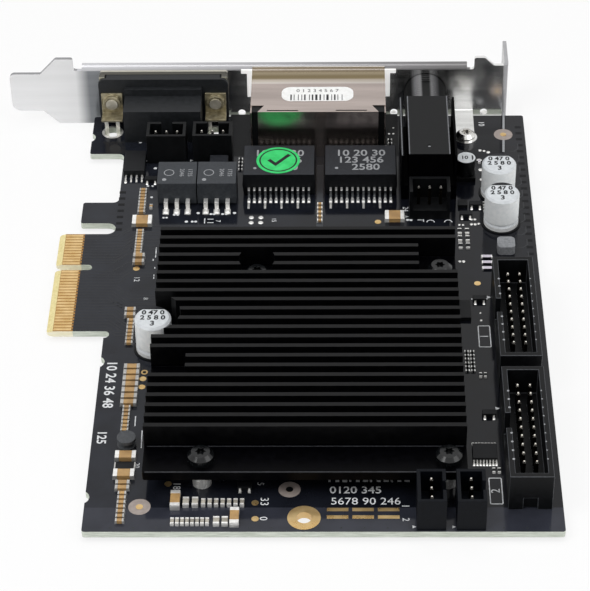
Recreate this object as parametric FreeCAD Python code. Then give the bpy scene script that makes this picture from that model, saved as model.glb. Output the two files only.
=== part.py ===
import FreeCAD, Part
import math
import os

os.makedirs("parts", exist_ok=True)

V = FreeCAD.Vector
ALONG_X = V(1, 0, 0)
ALONG_Y = V(0, 1, 0)
ALONG_Z = V(0, 0, 1)

# Frame: origin at the key notch on the outer edge of the card tongue, top face of the board at zero height
# X runs from the tongue into the board, Y towards the bracket, Z up from the component face

# Circuit board
BOARD_T = 1.57
BOARD_RIGHT = 108.7
BOARD_NEAR = -83.4
BOARD_FAR = 58.4
BOARD_LEFT = 12.65
CORNER_R = 0.6
INNER_R = 1.4
TONGUE_SHORT_END = 12.15
TONGUE_LONG_END = -22.15
KEY_W = 1.9
KEY_DEPTH = 8.25
BEVEL_DEPTH = 1.4
BEVEL_RISE = 0.45
LOWER_SLOT_W = 2.2
LOWER_SLOT_END = 13.8
UPPER_SLOT_W = 4.0
UPPER_SLOT_END = 12.6
TAB_OUT = 4.4
TAB_FAR = 24.0
SHELF_NEAR = 43.1
SHELF_OUT = 4.4
BITE_R = 1.9
BITE_DEPTH = 0.85
BITE_CENTRES = [(BOARD_LEFT, -32.3), (BOARD_LEFT, -73.7), (SHELF_OUT, 49.8)]
GROUND_HOLE = (56.85, -79.5)
GROUND_HOLE_R = 1.6
GROUND_RING_R = 3.35
REST_Z = -2.7
TAIL_FIT = 0.02
SMALL = 0.000001
FULL_TURN = 360

# Edge contacts
CONTACT_PITCH = 1.0
CONTACT_W = 0.7
CONTACT_T = 0.04
CONTACT_START = 1.5
CONTACT_END = 5.4
CONTACT_FIRST = 1.5
CONTACTS_SHORT = 11
CONTACTS_LONG = 21

# Slot bracket
SHEET_T = 0.9
BRACKET_IN = 59.7
BRACKET_OUT = BRACKET_IN + SHEET_T
BRACKET_LEFT = -15.7
BRACKET_RIGHT = 104.75
BRACKET_EAR_Z = 16.0
BRACKET_BEND_Z = 13.75
TONGUE_MID_Z = 6.35
TONGUE_HALF = 5.35
TONGUE_ROOT = -8.2
TONGUE_TIP_R = 4.2
EAR_START = -4.3
EAR_END = -0.1
FOLD_START = 1.95
FOLD_END = 94.8
RELIEF_Z = 12.7
RIGHT_EAR_START = 96.5
RIGHT_EAR_END = 99.0
RIGHT_EAR_FOOT = 101.3
FOLD_OUT = 0.95
TAB_OUT_Y = 9.7
BEND_R = 1.25
TAB_SLOT_W = 4.42
TAB_SLOT_Z = 1.2
TAB_SLOT_Y = 6.3
FOOT_X = 94.35
FOOT_HALF = 2.17
EYELET_Y = 48.4
EYELET_R = 2.75
FOOT_HOLE_R = 1.6
LAMP_CENTRES = [40.3, 77.35, 99.2]
LAMP_Z = 0.25
LAMP_R = 0.9

# Foot screw
SCREW_R = 1.45
FOOT_HEAD_R = 2.3
FOOT_HEAD_H = 1.5

# Heat sink
SINK_LEFT = 24.4
SINK_RIGHT = 89.6
SINK_NEAR = -73.35
SINK_FAR = 4.5
SINK_Z = 4.5
SINK_BASE_T = 2.0
SINK_TOP = 11.9
FIN_PITCH = 3.047
FIN_T = 1.05
FIN_FIRST = -1.0
NEAR_SCREW_Y = -69.5
SINK_SCREWS = [(36.1, NEAR_SCREW_Y), (85.9, NEAR_SCREW_Y), (46.0, FIN_FIRST - 3.5 * FIN_PITCH),
               (86.05, FIN_FIRST - 3 * FIN_PITCH)]
SINK_HEAD_R = 2.7
SINK_HEAD_CLEAR = 1.3
FIN_COUNT = int((FIN_FIRST - NEAR_SCREW_Y - SINK_HEAD_R - SINK_HEAD_CLEAR) / FIN_PITCH) + 1
SINK_HEAD_H = 2.3
SINK_HOLE_R = 1.7
FAR_POCKET_R = 4.0
EDGE_POCKET_LEFT = 81.3
EDGE_POCKET_FINS = (2, 4)
OPEN_POCKET_RIGHT = 32.0
OPEN_POCKET_FINS = (14, 15)
NICHE_SHIFT = 1.8
NICHE_CLEAR = 2.2
STANDOFF_R = 1.95
STANDOFF_COLLAR_R = 2.75
STANDOFF_COLLAR_H = 1.3
STANDOFF_HOLE_R = 1.45
SCREW_TIP_Z = 0.8
DRIVE_R = 1.15
DRIVE_DEPTH = 0.9
DRIVE_ROOT_R = 0.75
DRIVE_POINTS = 6
HEAD_EDGE = 0.8

# Processor under the heat sink
CHIP_CENTRE = (58.0, -34.0)
CHIP_W = 27.0
CHIP_H = 2.3
PAD_W = 24.0
PAD_T = 0.8
PEDESTAL_W = 30.0

# Nine way connector on the panel
SERIAL_X = 21.72
SERIAL_Z = 6.5
SERIAL_FLANGE_W = 30.81
SERIAL_EAR = 2.91
SERIAL_SPACING = SERIAL_FLANGE_W - 2 * SERIAL_EAR
SERIAL_FLANGE_H = 12.55
SERIAL_FLANGE_T = 1.75
SERIAL_SHEET = 0.5
SERIAL_D_TOP = 16.33
SERIAL_D_BOTTOM = 13.6
SERIAL_D_H = 7.9
SERIAL_D_R = 2.2
SERIAL_D_OUT = 5.8
SERIAL_CUT_MARGIN = 0.6
SERIAL_BODY_LAP = 0.195
SERIAL_BODY_W = SERIAL_FLANGE_W + 2 * SERIAL_BODY_LAP
SERIAL_BODY_H = 12.4
SERIAL_BODY_T = 2.1
SERIAL_BODY_R = 1.6
LOCK_W = 5.1
LOCK_CLEAR = 0.695
SERIAL_BLOCK_W = SERIAL_SPACING - LOCK_W - 2 * LOCK_CLEAR
SERIAL_BLOCK_H = 8.9
SERIAL_BLOCK_BACK = 47.8
SERIAL_LIP_H = 10.6
SERIAL_LIP_T = 1.3
CLINCH_W = 1.405
SERIAL_LEDGE_W = SERIAL_FLANGE_W - 2 * CLINCH_W
SERIAL_FRONT_T = 0.75
CLINCH_Z = 9.8
SERIAL_PITCH = 2.77
SERIAL_ROW = 2.84
SERIAL_HOLE_R = 0.55
SERIAL_HOLE_DEPTH = 5.0
SERIAL_TAIL_W = 0.7
SERIAL_LONG_CONTACTS = 5
SERIAL_SHORT_CONTACTS = 4
SERIAL_TAIL_Y = 51.62
SERIAL_FACE_IN = 0.3

# Boardlocks and jackscrews
LOCK_T = 0.5
LOCK_TOP = 8.9
LOCK_BOTTOM = 2.9
LOCK_FOOT = 3.2
LOCK_LEG_W = 0.9
LOCK_LEG_GAP = 1.8
LOCK_LEG_BACK = 0.4
LOCK_HOLE_R = 1.95
LOCK_SCREW_R = 1.42
LOCK_RING_R = 2.1
LOCK_RING_T = 0.9
JACK_AF = 4.75
JACK_LONG = 5.0
JACK_HOLE_R = 1.15
JACK_HOLE_DEPTH = 4.0
JACK_TAIL = 54.2
JACK_FIT = 0.06

# Network ports
NET_LEFT = 43.1
NET_RIGHT = 75.0
NET_BACK = 41.9
NET_TOP = 13.0
NET_SHEET = 0.3
NET_LIP_H = 0.8
NET_SLOT_W = 7.3
NET_SLOT_T = 0.45
NET_SLOT_IN = 0.35
NET_SLOT_CENTRES = [50.7, 66.9]
NET_NOTCH_W = 3.2
NET_NOTCH_D = 2.6
NET_CORNER_GAP = 1.7
NET_WING_W = 1.3
NET_WING_T = 0.5
NET_WING_Z = 5.2
NET_WING_TIP = 2.7
NET_WING_TIP_H = 1.0
NET_PEGS = [(43.25, 46.5), (74.85, 46.5), (43.25, 56.0), (74.85, 56.0)]
NET_PEG_W = 1.2
PORT_W = 11.9
PORT_H = 7.0
PORT_Z = 2.6
PORT_DEPTH = 12.5
PORT_LATCH_W = 6.2
PORT_LATCH_H = 1.6
PORT_CENTRES = [51.2, 66.9]
PORT_PANEL_MARGIN = 0.5
NET_FIT = 0.05
NET_CONTACTS = 8
NET_CONTACT_PITCH = 1.02
NET_CONTACT_W = 0.4
NET_CONTACT_T = 0.3
NET_CONTACT_LONG = 8.0
NET_CONTACT_DROP = 2.2
NET_CONTACT_IN = 1.2

# Headphone jack
HEX_SIDES = 6
JACK_X = 84.8
JACK_Z = 6.5
HOUSING_HALF = 6.4
HOUSING_TOP_HALF = 4.75
HOUSING_NEAR = 25.0
HOUSING_FAR = 48.2
HOUSING_TOP = 13.0
HOUSING_SIDE_TOP = 12.6
HOUSING_SIDE_T = 0.55
HOUSING_GROOVE_FLOOR = 4.0
HOUSING_DIMPLE_IN = 3.2
HOUSING_DIMPLE_R = 0.45
HOUSING_DIMPLE_D = 0.3
BUSHING_R = 5.0
BUSHING_FIT = 0.15
BUSHING_OUT = 3.2
BUSHING_FLAT_Z = 4.62
BUSHING_FLAT_END = 3.0
PLUG_R = 3.2
PLUG_END = 30.0
WASHER_R = 5.7
WASHER_T = 0.5
NUT_AF = 11.5
NUT_T = 2.0
JACK_TAILS = [(84.8, 35.3), (82.3, 37.8), (79.7, 45.4), (89.9, 45.4)]
JACK_TAIL_W = 0.9

# Box headers
PIN_PITCH = 2.54
PIN_W = 0.64
PIN_POINT = 0.45
PIN_TIP_W = 0.3
BOX_PINS = 10
BOX_EDGE = 6.67
BOX_X = BOARD_RIGHT - BOX_EDGE
BOX_CENTRES = [-24.2, -60.6]
BOX_W = 8.8
BOX_LONG = 33.1
BOX_H = 9.0
BOX_WALL = 1.15
BOX_FLOOR = 2.5
BOX_PIN_TOP = 8.45
BOX_KEY_W = 4.5
BOX_KEY_Z = 3.0
BOX_LATCH_W = 2.9
BOX_LATCH_H = 3.1
BOX_LATCH_IN = 0.7

# Three way headers
TRIO_PINS = 3
TRIO_W = 5.8
TRIO_LONG = 9.3
TRIO_H = 8.0
TRIO_WALL = 0.75
TRIO_FLOOR = 2.4
TRIO_PIN_TOP = 7.4
TRIO_KEY_W = 2.6
TRIO_KEY_Z = 2.6
TRIO_OPEN_W = TRIO_LONG - 2 * TRIO_WALL
AUDIO_CENTRES = [(23.1, 42.15, 1, TRIO_KEY_W), (34.0, 42.3, 1, TRIO_KEY_W), (84.78, 20.25, -1, TRIO_OPEN_W)]
SYNC_CENTRES = [(82.15, -78.4), (90.05, -78.4)]

# Line transformers
LINE_CENTRES = [(49.95, 32.5), (69.0, 32.5)]
LINE_W = 17.0
LINE_D = 12.0
LINE_H = 5.9
LINE_LIFT = 0.3
LINE_PARTING_Z = 3.0
LINE_DRAFT = 0.25
LINE_LEADS = 12
LINE_PITCH = 1.27
LINE_LEAD_W = 0.5
LINE_LEAD_T = 0.25
LINE_LEAD_Z = 2.2
LINE_LEAD_REACH = 2.4
LINE_LEAD_TOE = 1.1

# Isolators
ISO_CENTRES = [(26.35, 27.55), (35.6, 27.55)]
ISO_W = 9.0
ISO_D = 9.0
ISO_H = 6.0
ISO_LIFT = 0.4
ISO_CHAMFER = 0.25
ISO_CHAMFER_Z = 3.2
ISO_LEADS = 3
ISO_LEAD_W = 0.95
ISO_LEAD_T = 0.3
ISO_LEAD_Z = 1.6
ISO_LEAD_REACH = 3.0
ISO_LEAD_TOE = 1.3
CHOKE_CENTRE = (35.6, 37.2)
CHOKE_W = 4.3
CHOKE_D = 3.2
CHOKE_H = 2.8

# Aluminium capacitors
CAN_CENTRES = [(24.05, -27.8), (100.98, 27.3), (101.1, 16.05)]
CAN_R = 3.95
CAN_H = 8.8
CAN_EDGE = 0.5
CAN_GROOVE_Z = 1.7
CAN_GROOVE_D = 0.3
CAN_GROOVE_W = 0.9
CAN_LEAD_W = 0.6
CAN_LEAD_PITCH = 3.5
MINI_CAN = (93.75, 33.9)
MINI_CAN_R = 2.15
MINI_CAN_TOP = 5.4
MINI_BASE_W = 4.5
MINI_BASE_H = 1.1
MINI_BASE_CUT = 0.9

# Coils
DRUM = (20.1, -58.6)
DRUM_R = 1.95
DRUM_H = 2.6
DRUM_WAIST_R = 1.35
DRUM_FLANGE = 0.7
FLAT_COIL = (101.7, 6.1)
FLAT_COIL_W = 4.0
FLAT_COIL_H = 2.2
FLAT_COIL_R = 1.0

# Small chips: centre x, centre y, body along X, body along Y, height, leads a side, pitch, lead reach
SMALL_CHIPS = [
    (15.6, 37.9, 4.9, 8.0, 1.9, 4, 1.27, 2.2),
    (93.7, -61.2, 5.0, 4.4, 1.1, 8, 0.65, 1.0),
]
CHIP_LEAD_W = 0.4
CHIP_LEAD_T = 0.15
CHIP_LIFT = 0.1
CHIP_LEAD_RISE = 0.45
CHIP_LEAD_TOE = 0.6
# Three lead transistors: centre x, centre y
TRANSISTORS = [(44.8, -71.0), (94.9, -11.9), (95.2, -49.3), (19.75, 32.3), (95.6, 22.3), (93.2, 18.6)]
TRANSISTOR_W = 2.9
TRANSISTOR_D = 1.4
TRANSISTOR_H = 1.0
TRANSISTOR_REACH = 0.55
TRANSISTOR_PITCH = 0.95
# Leadless chips: centre x, centre y, size along X, size along Y
LEADLESS = [(91.6, -15.8, 2.4, 6.0), (92.6, 22.6, 2.2, 2.2)]
LEADLESS_H = 0.9

# Chip capacitors laid across X: x, first y, last y, count, length, width, height
CAP_COLUMNS = [
    (18.15, 28.2, 19.9, 8, 1.7, 0.8, 0.8),
    (18.35, 12.8, 4.6, 9, 1.7, 0.7, 0.7),
    (18.7, 3.4, 1.3, 2, 2.6, 1.2, 1.0),
    (18.0, -15.6, -17.3, 2, 2.4, 1.1, 1.0),
    (18.35, -19.0, -26.4, 7, 1.6, 0.8, 0.75),
    (19.6, -34.6, -45.9, 7, 3.4, 1.3, 1.0),
    (19.3, -47.2, -54.2, 7, 1.6, 0.75, 0.75),
    (20.1, -62.2, -67.6, 2, 4.3, 2.1, 1.2),
    (20.0, -70.0, -71.5, 2, 2.9, 1.0, 0.9),
    (20.1, -73.0, -80.8, 7, 1.7, 0.8, 0.8),
    (59.5, 22.8, 16.6, 5, 1.2, 0.7, 0.6),
]
# Chip capacitors laid across Y: y, first x, last x, count, length, width, height
CAP_ROWS = [
    (-75.1, 30.95, 30.95, 1, 4.4, 1.9, 1.3),
    (-79.9, 43.0, 43.0, 1, 4.4, 1.8, 1.3),
    (-75.5, 33.1, 34.95, 2, 2.2, 1.2, 0.9),
    (-75.6, 36.6, 44.4, 7, 1.7, 0.8, 0.8),
    (-80.9, 30.6, 37.6, 8, 1.7, 0.7, 0.7),
    (-80.9, 39.4, 41.1, 2, 2.0, 1.2, 0.9),
    (22.0, 20.3, 20.3, 1, 1.3, 0.7, 0.6),
]
# Large capacitors: centre x, centre y, length along X, width along Y, height
BIG_CAPS = [(18.6, 16.3, 4.5, 3.2, 1.1), (76.75, 17.8, 4.4, 3.2, 1.1)]
CAP_END_SHARE = 0.2
CAP_PROUD = 0.03
# Chip resistors laid across Y: y, first x, last x, count, length, width
RESISTOR_ROWS = [
    (12.6, 91.5, 93.2, 2, 1.7, 0.9),
    (9.9, 91.5, 93.2, 2, 1.7, 0.9),
    (7.2, 91.5, 93.2, 2, 1.7, 0.9),
    (-37.0, 94.0, 95.0, 2, 1.3, 0.6),
    (-66.2, 95.3, 96.4, 2, 1.3, 0.6),
    (39.4, 97.2, 98.9, 2, 1.3, 0.6),
    (22.8, 97.6, 98.6, 2, 1.2, 0.6),
    (20.6, 97.6, 98.6, 2, 1.2, 0.6),
]
# Chip resistors laid across X: x, first y, last y, count, length, width
RESISTOR_COLUMNS = [
    (91.3, -29.4, -35.6, 6, 0.9, 0.5),
    (92.5, -29.4, -35.6, 6, 0.9, 0.5),
    (97.25, 3.2, -0.9, 3, 2.4, 0.9),
    (20.1, -64.9, -64.9, 1, 4.3, 2.1),
    (40.6, 40.6, 36.4, 4, 1.0, 0.5),
    (76.2, 48.2, 42.4, 5, 1.0, 0.5),
]
RESISTOR_H = 0.45
RESISTOR_END = 0.25

# Bare gold pads and alignment marks
TEST_PADS = [(18.3, -0.5), (29.2, -69.8), (47.0, -75.3), (47.1, -79.8), (94.75, -6.0), (22.1, -37.8),
             (22.05, -40.4), (22.3, -35.7), (72.9, 16.4)]
TEST_PAD_R = 0.75
ALIGN_MARKS = [(23.8, -76.4), (53.85, -71.45), (103.5, 50.5)]
ALIGN_DOT_R = 0.75
PAD_T_GOLD = 0.05
PAD_SIDES = 16

# Paper label and sticker
LABEL_X = 58.9
LABEL_Y = 49.1
LABEL_W = 17.0
LABEL_D = 5.75
LABEL_R = 2.2
STICKER_X = 49.75
STICKER_Y = 32.3
STICKER_W = 10.2
STICKER_T = 0.08


def block(x0, x1, y0, y1, z0, z1):
    return Part.makeBox(x1 - x0, y1 - y0, z1 - z0, V(x0, y0, z0))


def centred(x, y, wide, deep, z0, z1):
    return block(x - wide / 2, x + wide / 2, y - deep / 2, y + deep / 2, z0, z1)


def rod(radius, start, length, along=ALONG_Z):
    return Part.makeCylinder(radius, length, start, along)


def joined(shapes):
    return shapes[0].multiFuse(shapes[1:]).removeSplitter()


def save(name, shapes):
    Part.makeCompound(shapes).exportStep("parts/" + name + ".step")


def on_xy(height):
    return lambda a, b: V(a, b, height)


def on_xz(depth):
    return lambda a, b: V(a, depth, b)


def rounded_face(corners, place):
    arcs = []
    count = len(corners)
    for i in range(count):
        here = V(corners[i][0], corners[i][1], 0)
        back = V(corners[i - 1][0], corners[i - 1][1], 0) - here
        ahead = V(corners[(i + 1) % count][0], corners[(i + 1) % count][1], 0) - here
        back.normalize()
        ahead.normalize()
        half = back.getAngle(ahead) / 2
        radius = corners[i][2]
        reach = radius / math.tan(half)
        start = here + back * reach
        end = here + ahead * reach
        middle = here
        if radius > 0:
            bisector = back + ahead
            bisector.normalize()
            middle = here + bisector * (radius / math.sin(half) - radius)
        arcs.append((radius, start, middle, end))
    edges = []
    for i in range(count):
        radius, start, middle, end = arcs[i]
        if radius > 0:
            points = [place(p.x, p.y) for p in (start, middle, end)]
            edges.append(Part.Arc(*points).toShape())
        nearest = arcs[(i + 1) % count][1]
        if (nearest - end).Length > SMALL:
            edges.append(Part.makeLine(place(end.x, end.y), place(nearest.x, nearest.y)))
    return Part.Face(Part.Wire(Part.__sortEdges__(edges)))


def flat_plate(corners, z0, z1):
    return rounded_face(corners, on_xy(z0)).extrude(V(0, 0, z1 - z0))


def upright_plate(corners, y0, y1):
    return rounded_face(corners, on_xz(y0)).extrude(V(0, y1 - y0, 0))


def rectangle(x, y, wide, deep, radius):
    left = x - wide / 2
    right = x + wide / 2
    near = y - deep / 2
    far = y + deep / 2
    return [(left, near, radius), (right, near, radius), (right, far, radius), (left, far, radius)]


def spread(first, last, count):
    if count == 1:
        return [first]
    return [first + (last - first) * i / (count - 1) for i in range(count)]


def hexagon(across, x, z, y0, y1):
    radius = across / math.sqrt(3)
    corners = []
    for i in range(HEX_SIDES):
        angle = 2 * math.pi * i / HEX_SIDES
        corners.append((x + radius * math.cos(angle), z + radius * math.sin(angle), 0))
    return upright_plate(corners, y0, y1)


def tapered(x, y, wide0, deep0, z0, wide1, deep1, z1):
    corners = ((-0.5, -0.5), (0.5, -0.5), (0.5, 0.5), (-0.5, 0.5))
    low = [V(x + a * wide0, y + b * deep0, z0) for a, b in corners]
    high = [V(x + a * wide1, y + b * deep1, z1) for a, b in corners]
    faces = [Part.Face(Part.makePolygon(ring + ring[:1])) for ring in (low, high)]
    for i in range(len(corners)):
        faces.append(Part.Face(Part.makePolygon([low[i - 1], low[i], high[i], high[i - 1], low[i - 1]])))
    return Part.makeSolid(Part.makeShell(faces))


def pin(x, y, top):
    body = centred(x, y, PIN_W, PIN_W, REST_Z, top - PIN_POINT)
    return joined([body, tapered(x, y, PIN_W, PIN_W, top - PIN_POINT, PIN_TIP_W, PIN_TIP_W, top)])


def gull_lead(x, y, side, wide, thick, rise, reach, toe):
    start = min(y, y + side * reach)
    flat = block(x - wide / 2, x + wide / 2, start, start + reach, rise, rise + thick)
    drop_y = y + side * (reach - toe)
    low = min(drop_y, drop_y - side * thick)
    web = block(x - wide / 2, x + wide / 2, low, low + thick, 0, rise + thick)
    shoulder = block(x - wide / 2, x + wide / 2, min(y, drop_y), max(y, drop_y), rise, rise + thick)
    foot_far = drop_y + side * toe
    foot = block(x - wide / 2, x + wide / 2, min(drop_y, foot_far), max(drop_y, foot_far), 0, thick)
    return joined([shoulder.common(flat), web, foot])


def chip_part(x, y, long_x, long_y, height, across_x, end):
    if across_x:
        body = centred(x, y, long_x - 2 * end, long_y, 0, height)
        ends = [block(x - long_x / 2, x - long_x / 2 + end, y - long_y / 2 - CAP_PROUD,
                      y + long_y / 2 + CAP_PROUD, 0, height + CAP_PROUD),
                block(x + long_x / 2 - end, x + long_x / 2, y - long_y / 2 - CAP_PROUD,
                      y + long_y / 2 + CAP_PROUD, 0, height + CAP_PROUD)]
        return body, ends
    body = centred(x, y, long_x, long_y - 2 * end, 0, height)
    ends = [block(x - long_x / 2 - CAP_PROUD, x + long_x / 2 + CAP_PROUD, y - long_y / 2,
                  y - long_y / 2 + end, 0, height + CAP_PROUD),
            block(x - long_x / 2 - CAP_PROUD, x + long_x / 2 + CAP_PROUD, y + long_y / 2 - end,
                  y + long_y / 2, 0, height + CAP_PROUD)]
    return body, ends


# Places of every lead that passes through the board
BOX_PIN_SPOTS = []
for centre in BOX_CENTRES:
    for i in range(BOX_PINS):
        for column in (-0.5, 0.5):
            BOX_PIN_SPOTS.append((BOX_X + column * PIN_PITCH, centre + (i - (BOX_PINS - 1) / 2) * PIN_PITCH))
AUDIO_SPOTS = []
for x, y, key_side, key_w in AUDIO_CENTRES:
    for i in range(TRIO_PINS):
        AUDIO_SPOTS.append((x + (i - 1) * PIN_PITCH, y))
SYNC_SPOTS = []
for x, y in SYNC_CENTRES:
    for i in range(TRIO_PINS):
        SYNC_SPOTS.append((x, y + (i - 1) * PIN_PITCH))
serial_rows = [(-0.5, SERIAL_LONG_CONTACTS), (0.5, SERIAL_SHORT_CONTACTS)]
SERIAL_SPOTS = []
for row, count in serial_rows:
    for i in range(count):
        SERIAL_SPOTS.append((SERIAL_X + (i - (count - 1) / 2) * SERIAL_PITCH, SERIAL_TAIL_Y + row * SERIAL_ROW))
CAN_SPOTS = []
for x, y in CAN_CENTRES:
    for side in (-0.5, 0.5):
        CAN_SPOTS.append((x, y + side * CAN_LEAD_PITCH))
LOCK_SPOTS = [SERIAL_X - SERIAL_SPACING / 2, SERIAL_X + SERIAL_SPACING / 2]
SHELL_BACK = BRACKET_IN - SERIAL_FLANGE_T
BODY_BACK = SHELL_BACK - SERIAL_BODY_T
LOCK_BACK = BODY_BACK - LOCK_T
LOCK_LEG_Y = LOCK_BACK - LOCK_FOOT + LOCK_T / 2
LOCK_HOLE_Y = LOCK_LEG_Y - LOCK_LEG_BACK

# Circuit board outline, going round from the near right corner
TONGUE_LOW = TONGUE_LONG_END
SLOT_LOW_Y = TONGUE_LONG_END - LOWER_SLOT_W
TAB_NEAR = TONGUE_SHORT_END + UPPER_SLOT_W
outline = [
    (BOARD_RIGHT, BOARD_NEAR, CORNER_R),
    (BOARD_RIGHT, BOARD_FAR, CORNER_R),
    (SHELF_OUT, BOARD_FAR, CORNER_R),
    (SHELF_OUT, SHELF_NEAR, CORNER_R),
    (BOARD_LEFT, SHELF_NEAR, INNER_R),
    (BOARD_LEFT, TAB_FAR, INNER_R),
    (TAB_OUT, TAB_FAR, CORNER_R),
    (TAB_OUT, TAB_NEAR, CORNER_R),
    (UPPER_SLOT_END, TAB_NEAR, UPPER_SLOT_W / 2 - TAIL_FIT),
    (UPPER_SLOT_END, TONGUE_SHORT_END, UPPER_SLOT_W / 2 - TAIL_FIT),
    (0, TONGUE_SHORT_END, CORNER_R),
    (0, KEY_W / 2, CORNER_R),
    (KEY_DEPTH, KEY_W / 2, KEY_W / 2 - TAIL_FIT),
    (KEY_DEPTH, -KEY_W / 2, KEY_W / 2 - TAIL_FIT),
    (0, -KEY_W / 2, CORNER_R),
    (0, TONGUE_LOW, CORNER_R),
    (LOWER_SLOT_END, TONGUE_LOW, LOWER_SLOT_W / 2 - TAIL_FIT),
    (LOWER_SLOT_END, SLOT_LOW_Y, LOWER_SLOT_W / 2 - TAIL_FIT),
    (BOARD_LEFT, SLOT_LOW_Y, 0),
    (BOARD_LEFT, BOARD_NEAR, CORNER_R),
]
board = flat_plate(outline, -BOARD_T, 0)
cuts = []
for x, y in BITE_CENTRES:
    cuts.append(rod(BITE_R, V(x - BITE_R + BITE_DEPTH, y, -BOARD_T), BOARD_T))
cuts.append(rod(GROUND_HOLE_R, V(GROUND_HOLE[0], GROUND_HOLE[1], -BOARD_T), BOARD_T))
cuts.append(rod(FOOT_HOLE_R, V(FOOT_X, EYELET_Y, -BOARD_T), BOARD_T))
for x in LOCK_SPOTS:
    cuts.append(rod(LOCK_HOLE_R, V(x, LOCK_HOLE_Y, -BOARD_T), BOARD_T))
for face, tip in ((0, -1), (-BOARD_T, 1)):
    corners = [V(-BEVEL_DEPTH, TONGUE_LOW, face), V(BEVEL_DEPTH, TONGUE_LOW, face),
               V(0, TONGUE_LOW, face + tip * BEVEL_RISE), V(-BEVEL_DEPTH, TONGUE_LOW, face + tip * BEVEL_RISE),
               V(-BEVEL_DEPTH, TONGUE_LOW, face)]
    wedge = Part.Face(Part.makePolygon(corners))
    cuts.append(wedge.extrude(V(0, TONGUE_SHORT_END - TONGUE_LOW, 0)))
for x, y in BOX_PIN_SPOTS + AUDIO_SPOTS + SYNC_SPOTS:
    cuts.append(centred(x, y, PIN_W + TAIL_FIT, PIN_W + TAIL_FIT, -BOARD_T, 0))
for x, y in SERIAL_SPOTS:
    cuts.append(centred(x, y, SERIAL_TAIL_W + TAIL_FIT, SERIAL_TAIL_W + TAIL_FIT, -BOARD_T, 0))
for x, y in CAN_SPOTS:
    cuts.append(centred(x, y, CAN_LEAD_W + TAIL_FIT, CAN_LEAD_W + TAIL_FIT, -BOARD_T, 0))
for x, y in NET_PEGS:
    cuts.append(centred(x, y, NET_SHEET + TAIL_FIT, NET_PEG_W + TAIL_FIT, -BOARD_T, 0))
for x, y in JACK_TAILS:
    cuts.append(centred(x, y, JACK_TAIL_W + TAIL_FIT, JACK_TAIL_W + TAIL_FIT, -BOARD_T, 0))
board = board.cut(Part.makeCompound(cuts))
save("circuit_board", board.Solids)

# Gold contacts on both faces of the tongue
contacts = []
rows = [CONTACT_FIRST + i * CONTACT_PITCH for i in range(CONTACTS_SHORT)]
rows += [-CONTACT_FIRST - i * CONTACT_PITCH for i in range(CONTACTS_LONG)]
for y in rows:
    for z in (0, -BOARD_T - CONTACT_T):
        contacts.append(block(CONTACT_START, CONTACT_END, y - CONTACT_W / 2, y + CONTACT_W / 2, z, z + CONTACT_T))
save("edge_contacts", contacts)

# Slot bracket: plate with tongue and ears
tongue_low = TONGUE_MID_Z - TONGUE_HALF
tongue_high = TONGUE_MID_Z + TONGUE_HALF
lower_step = TONGUE_ROOT + tongue_low - REST_Z
profile = [
    (BRACKET_LEFT, tongue_low, TONGUE_TIP_R),
    (TONGUE_ROOT, tongue_low, CORNER_R),
    (lower_step, REST_Z, CORNER_R),
    (BRACKET_RIGHT - BEND_R, REST_Z, 0),
    (BRACKET_RIGHT - BEND_R, BRACKET_BEND_Z, 0),
    (RIGHT_EAR_FOOT, BRACKET_BEND_Z, CORNER_R),
    (RIGHT_EAR_END, BRACKET_EAR_Z, CORNER_R),
    (RIGHT_EAR_START, BRACKET_EAR_Z, CORNER_R),
    (RIGHT_EAR_START, RELIEF_Z, CORNER_R),
    (FOLD_END, RELIEF_Z, 0),
    (FOLD_END, BRACKET_BEND_Z - BEND_R, 0),
    (FOLD_START, BRACKET_BEND_Z - BEND_R, 0),
    (FOLD_START, RELIEF_Z, 0),
    (EAR_END, RELIEF_Z, CORNER_R),
    (EAR_END, BRACKET_EAR_Z, CORNER_R),
    (EAR_START, BRACKET_EAR_Z, CORNER_R),
    (TONGUE_ROOT, tongue_high, CORNER_R),
    (BRACKET_LEFT, tongue_high, TONGUE_TIP_R),
]
plate = upright_plate(profile, BRACKET_IN, BRACKET_OUT)

# Folded sheet is a quarter ring at each bend with a flat strip beyond it


def bend(centre, along, length, keep):
    ring = rod(BEND_R, centre, length, along).cut(rod(BEND_R - SHEET_T, centre, length, along))
    return ring.common(keep)


fold_centre = V(FOLD_START, BRACKET_IN + BEND_R, BRACKET_BEND_Z - BEND_R)
fold_keep = block(FOLD_START, FOLD_END, BRACKET_IN, BRACKET_IN + BEND_R, BRACKET_BEND_Z - BEND_R, BRACKET_BEND_Z)
fold_lip = block(FOLD_START, FOLD_END, BRACKET_IN + BEND_R, BRACKET_OUT + FOLD_OUT,
                 BRACKET_BEND_Z - SHEET_T, BRACKET_BEND_Z)
tab_centre = V(BRACKET_RIGHT - BEND_R, BRACKET_IN + BEND_R, REST_Z)
tab_keep = block(BRACKET_RIGHT - BEND_R, BRACKET_RIGHT, BRACKET_IN, BRACKET_IN + BEND_R, REST_Z, BRACKET_BEND_Z)
tab = block(BRACKET_RIGHT - SHEET_T, BRACKET_RIGHT, BRACKET_IN + BEND_R, BRACKET_OUT + TAB_OUT_Y,
            REST_Z, BRACKET_BEND_Z)
slot_y = BRACKET_OUT + TAB_SLOT_Y
tab = tab.cut(block(BRACKET_RIGHT - SHEET_T, BRACKET_RIGHT, slot_y - TAB_SLOT_W / 2, slot_y + TAB_SLOT_W / 2,
                    REST_Z, TAB_SLOT_Z))
tab = tab.cut(rod(TAB_SLOT_W / 2, V(BRACKET_RIGHT - SHEET_T, slot_y, TAB_SLOT_Z), SHEET_T, ALONG_X))
foot_centre = V(FOOT_X - FOOT_HALF, BRACKET_OUT - BEND_R, BEND_R)
foot_keep = block(FOOT_X - FOOT_HALF, FOOT_X + FOOT_HALF, BRACKET_OUT - BEND_R, BRACKET_OUT, 0, BEND_R)
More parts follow.
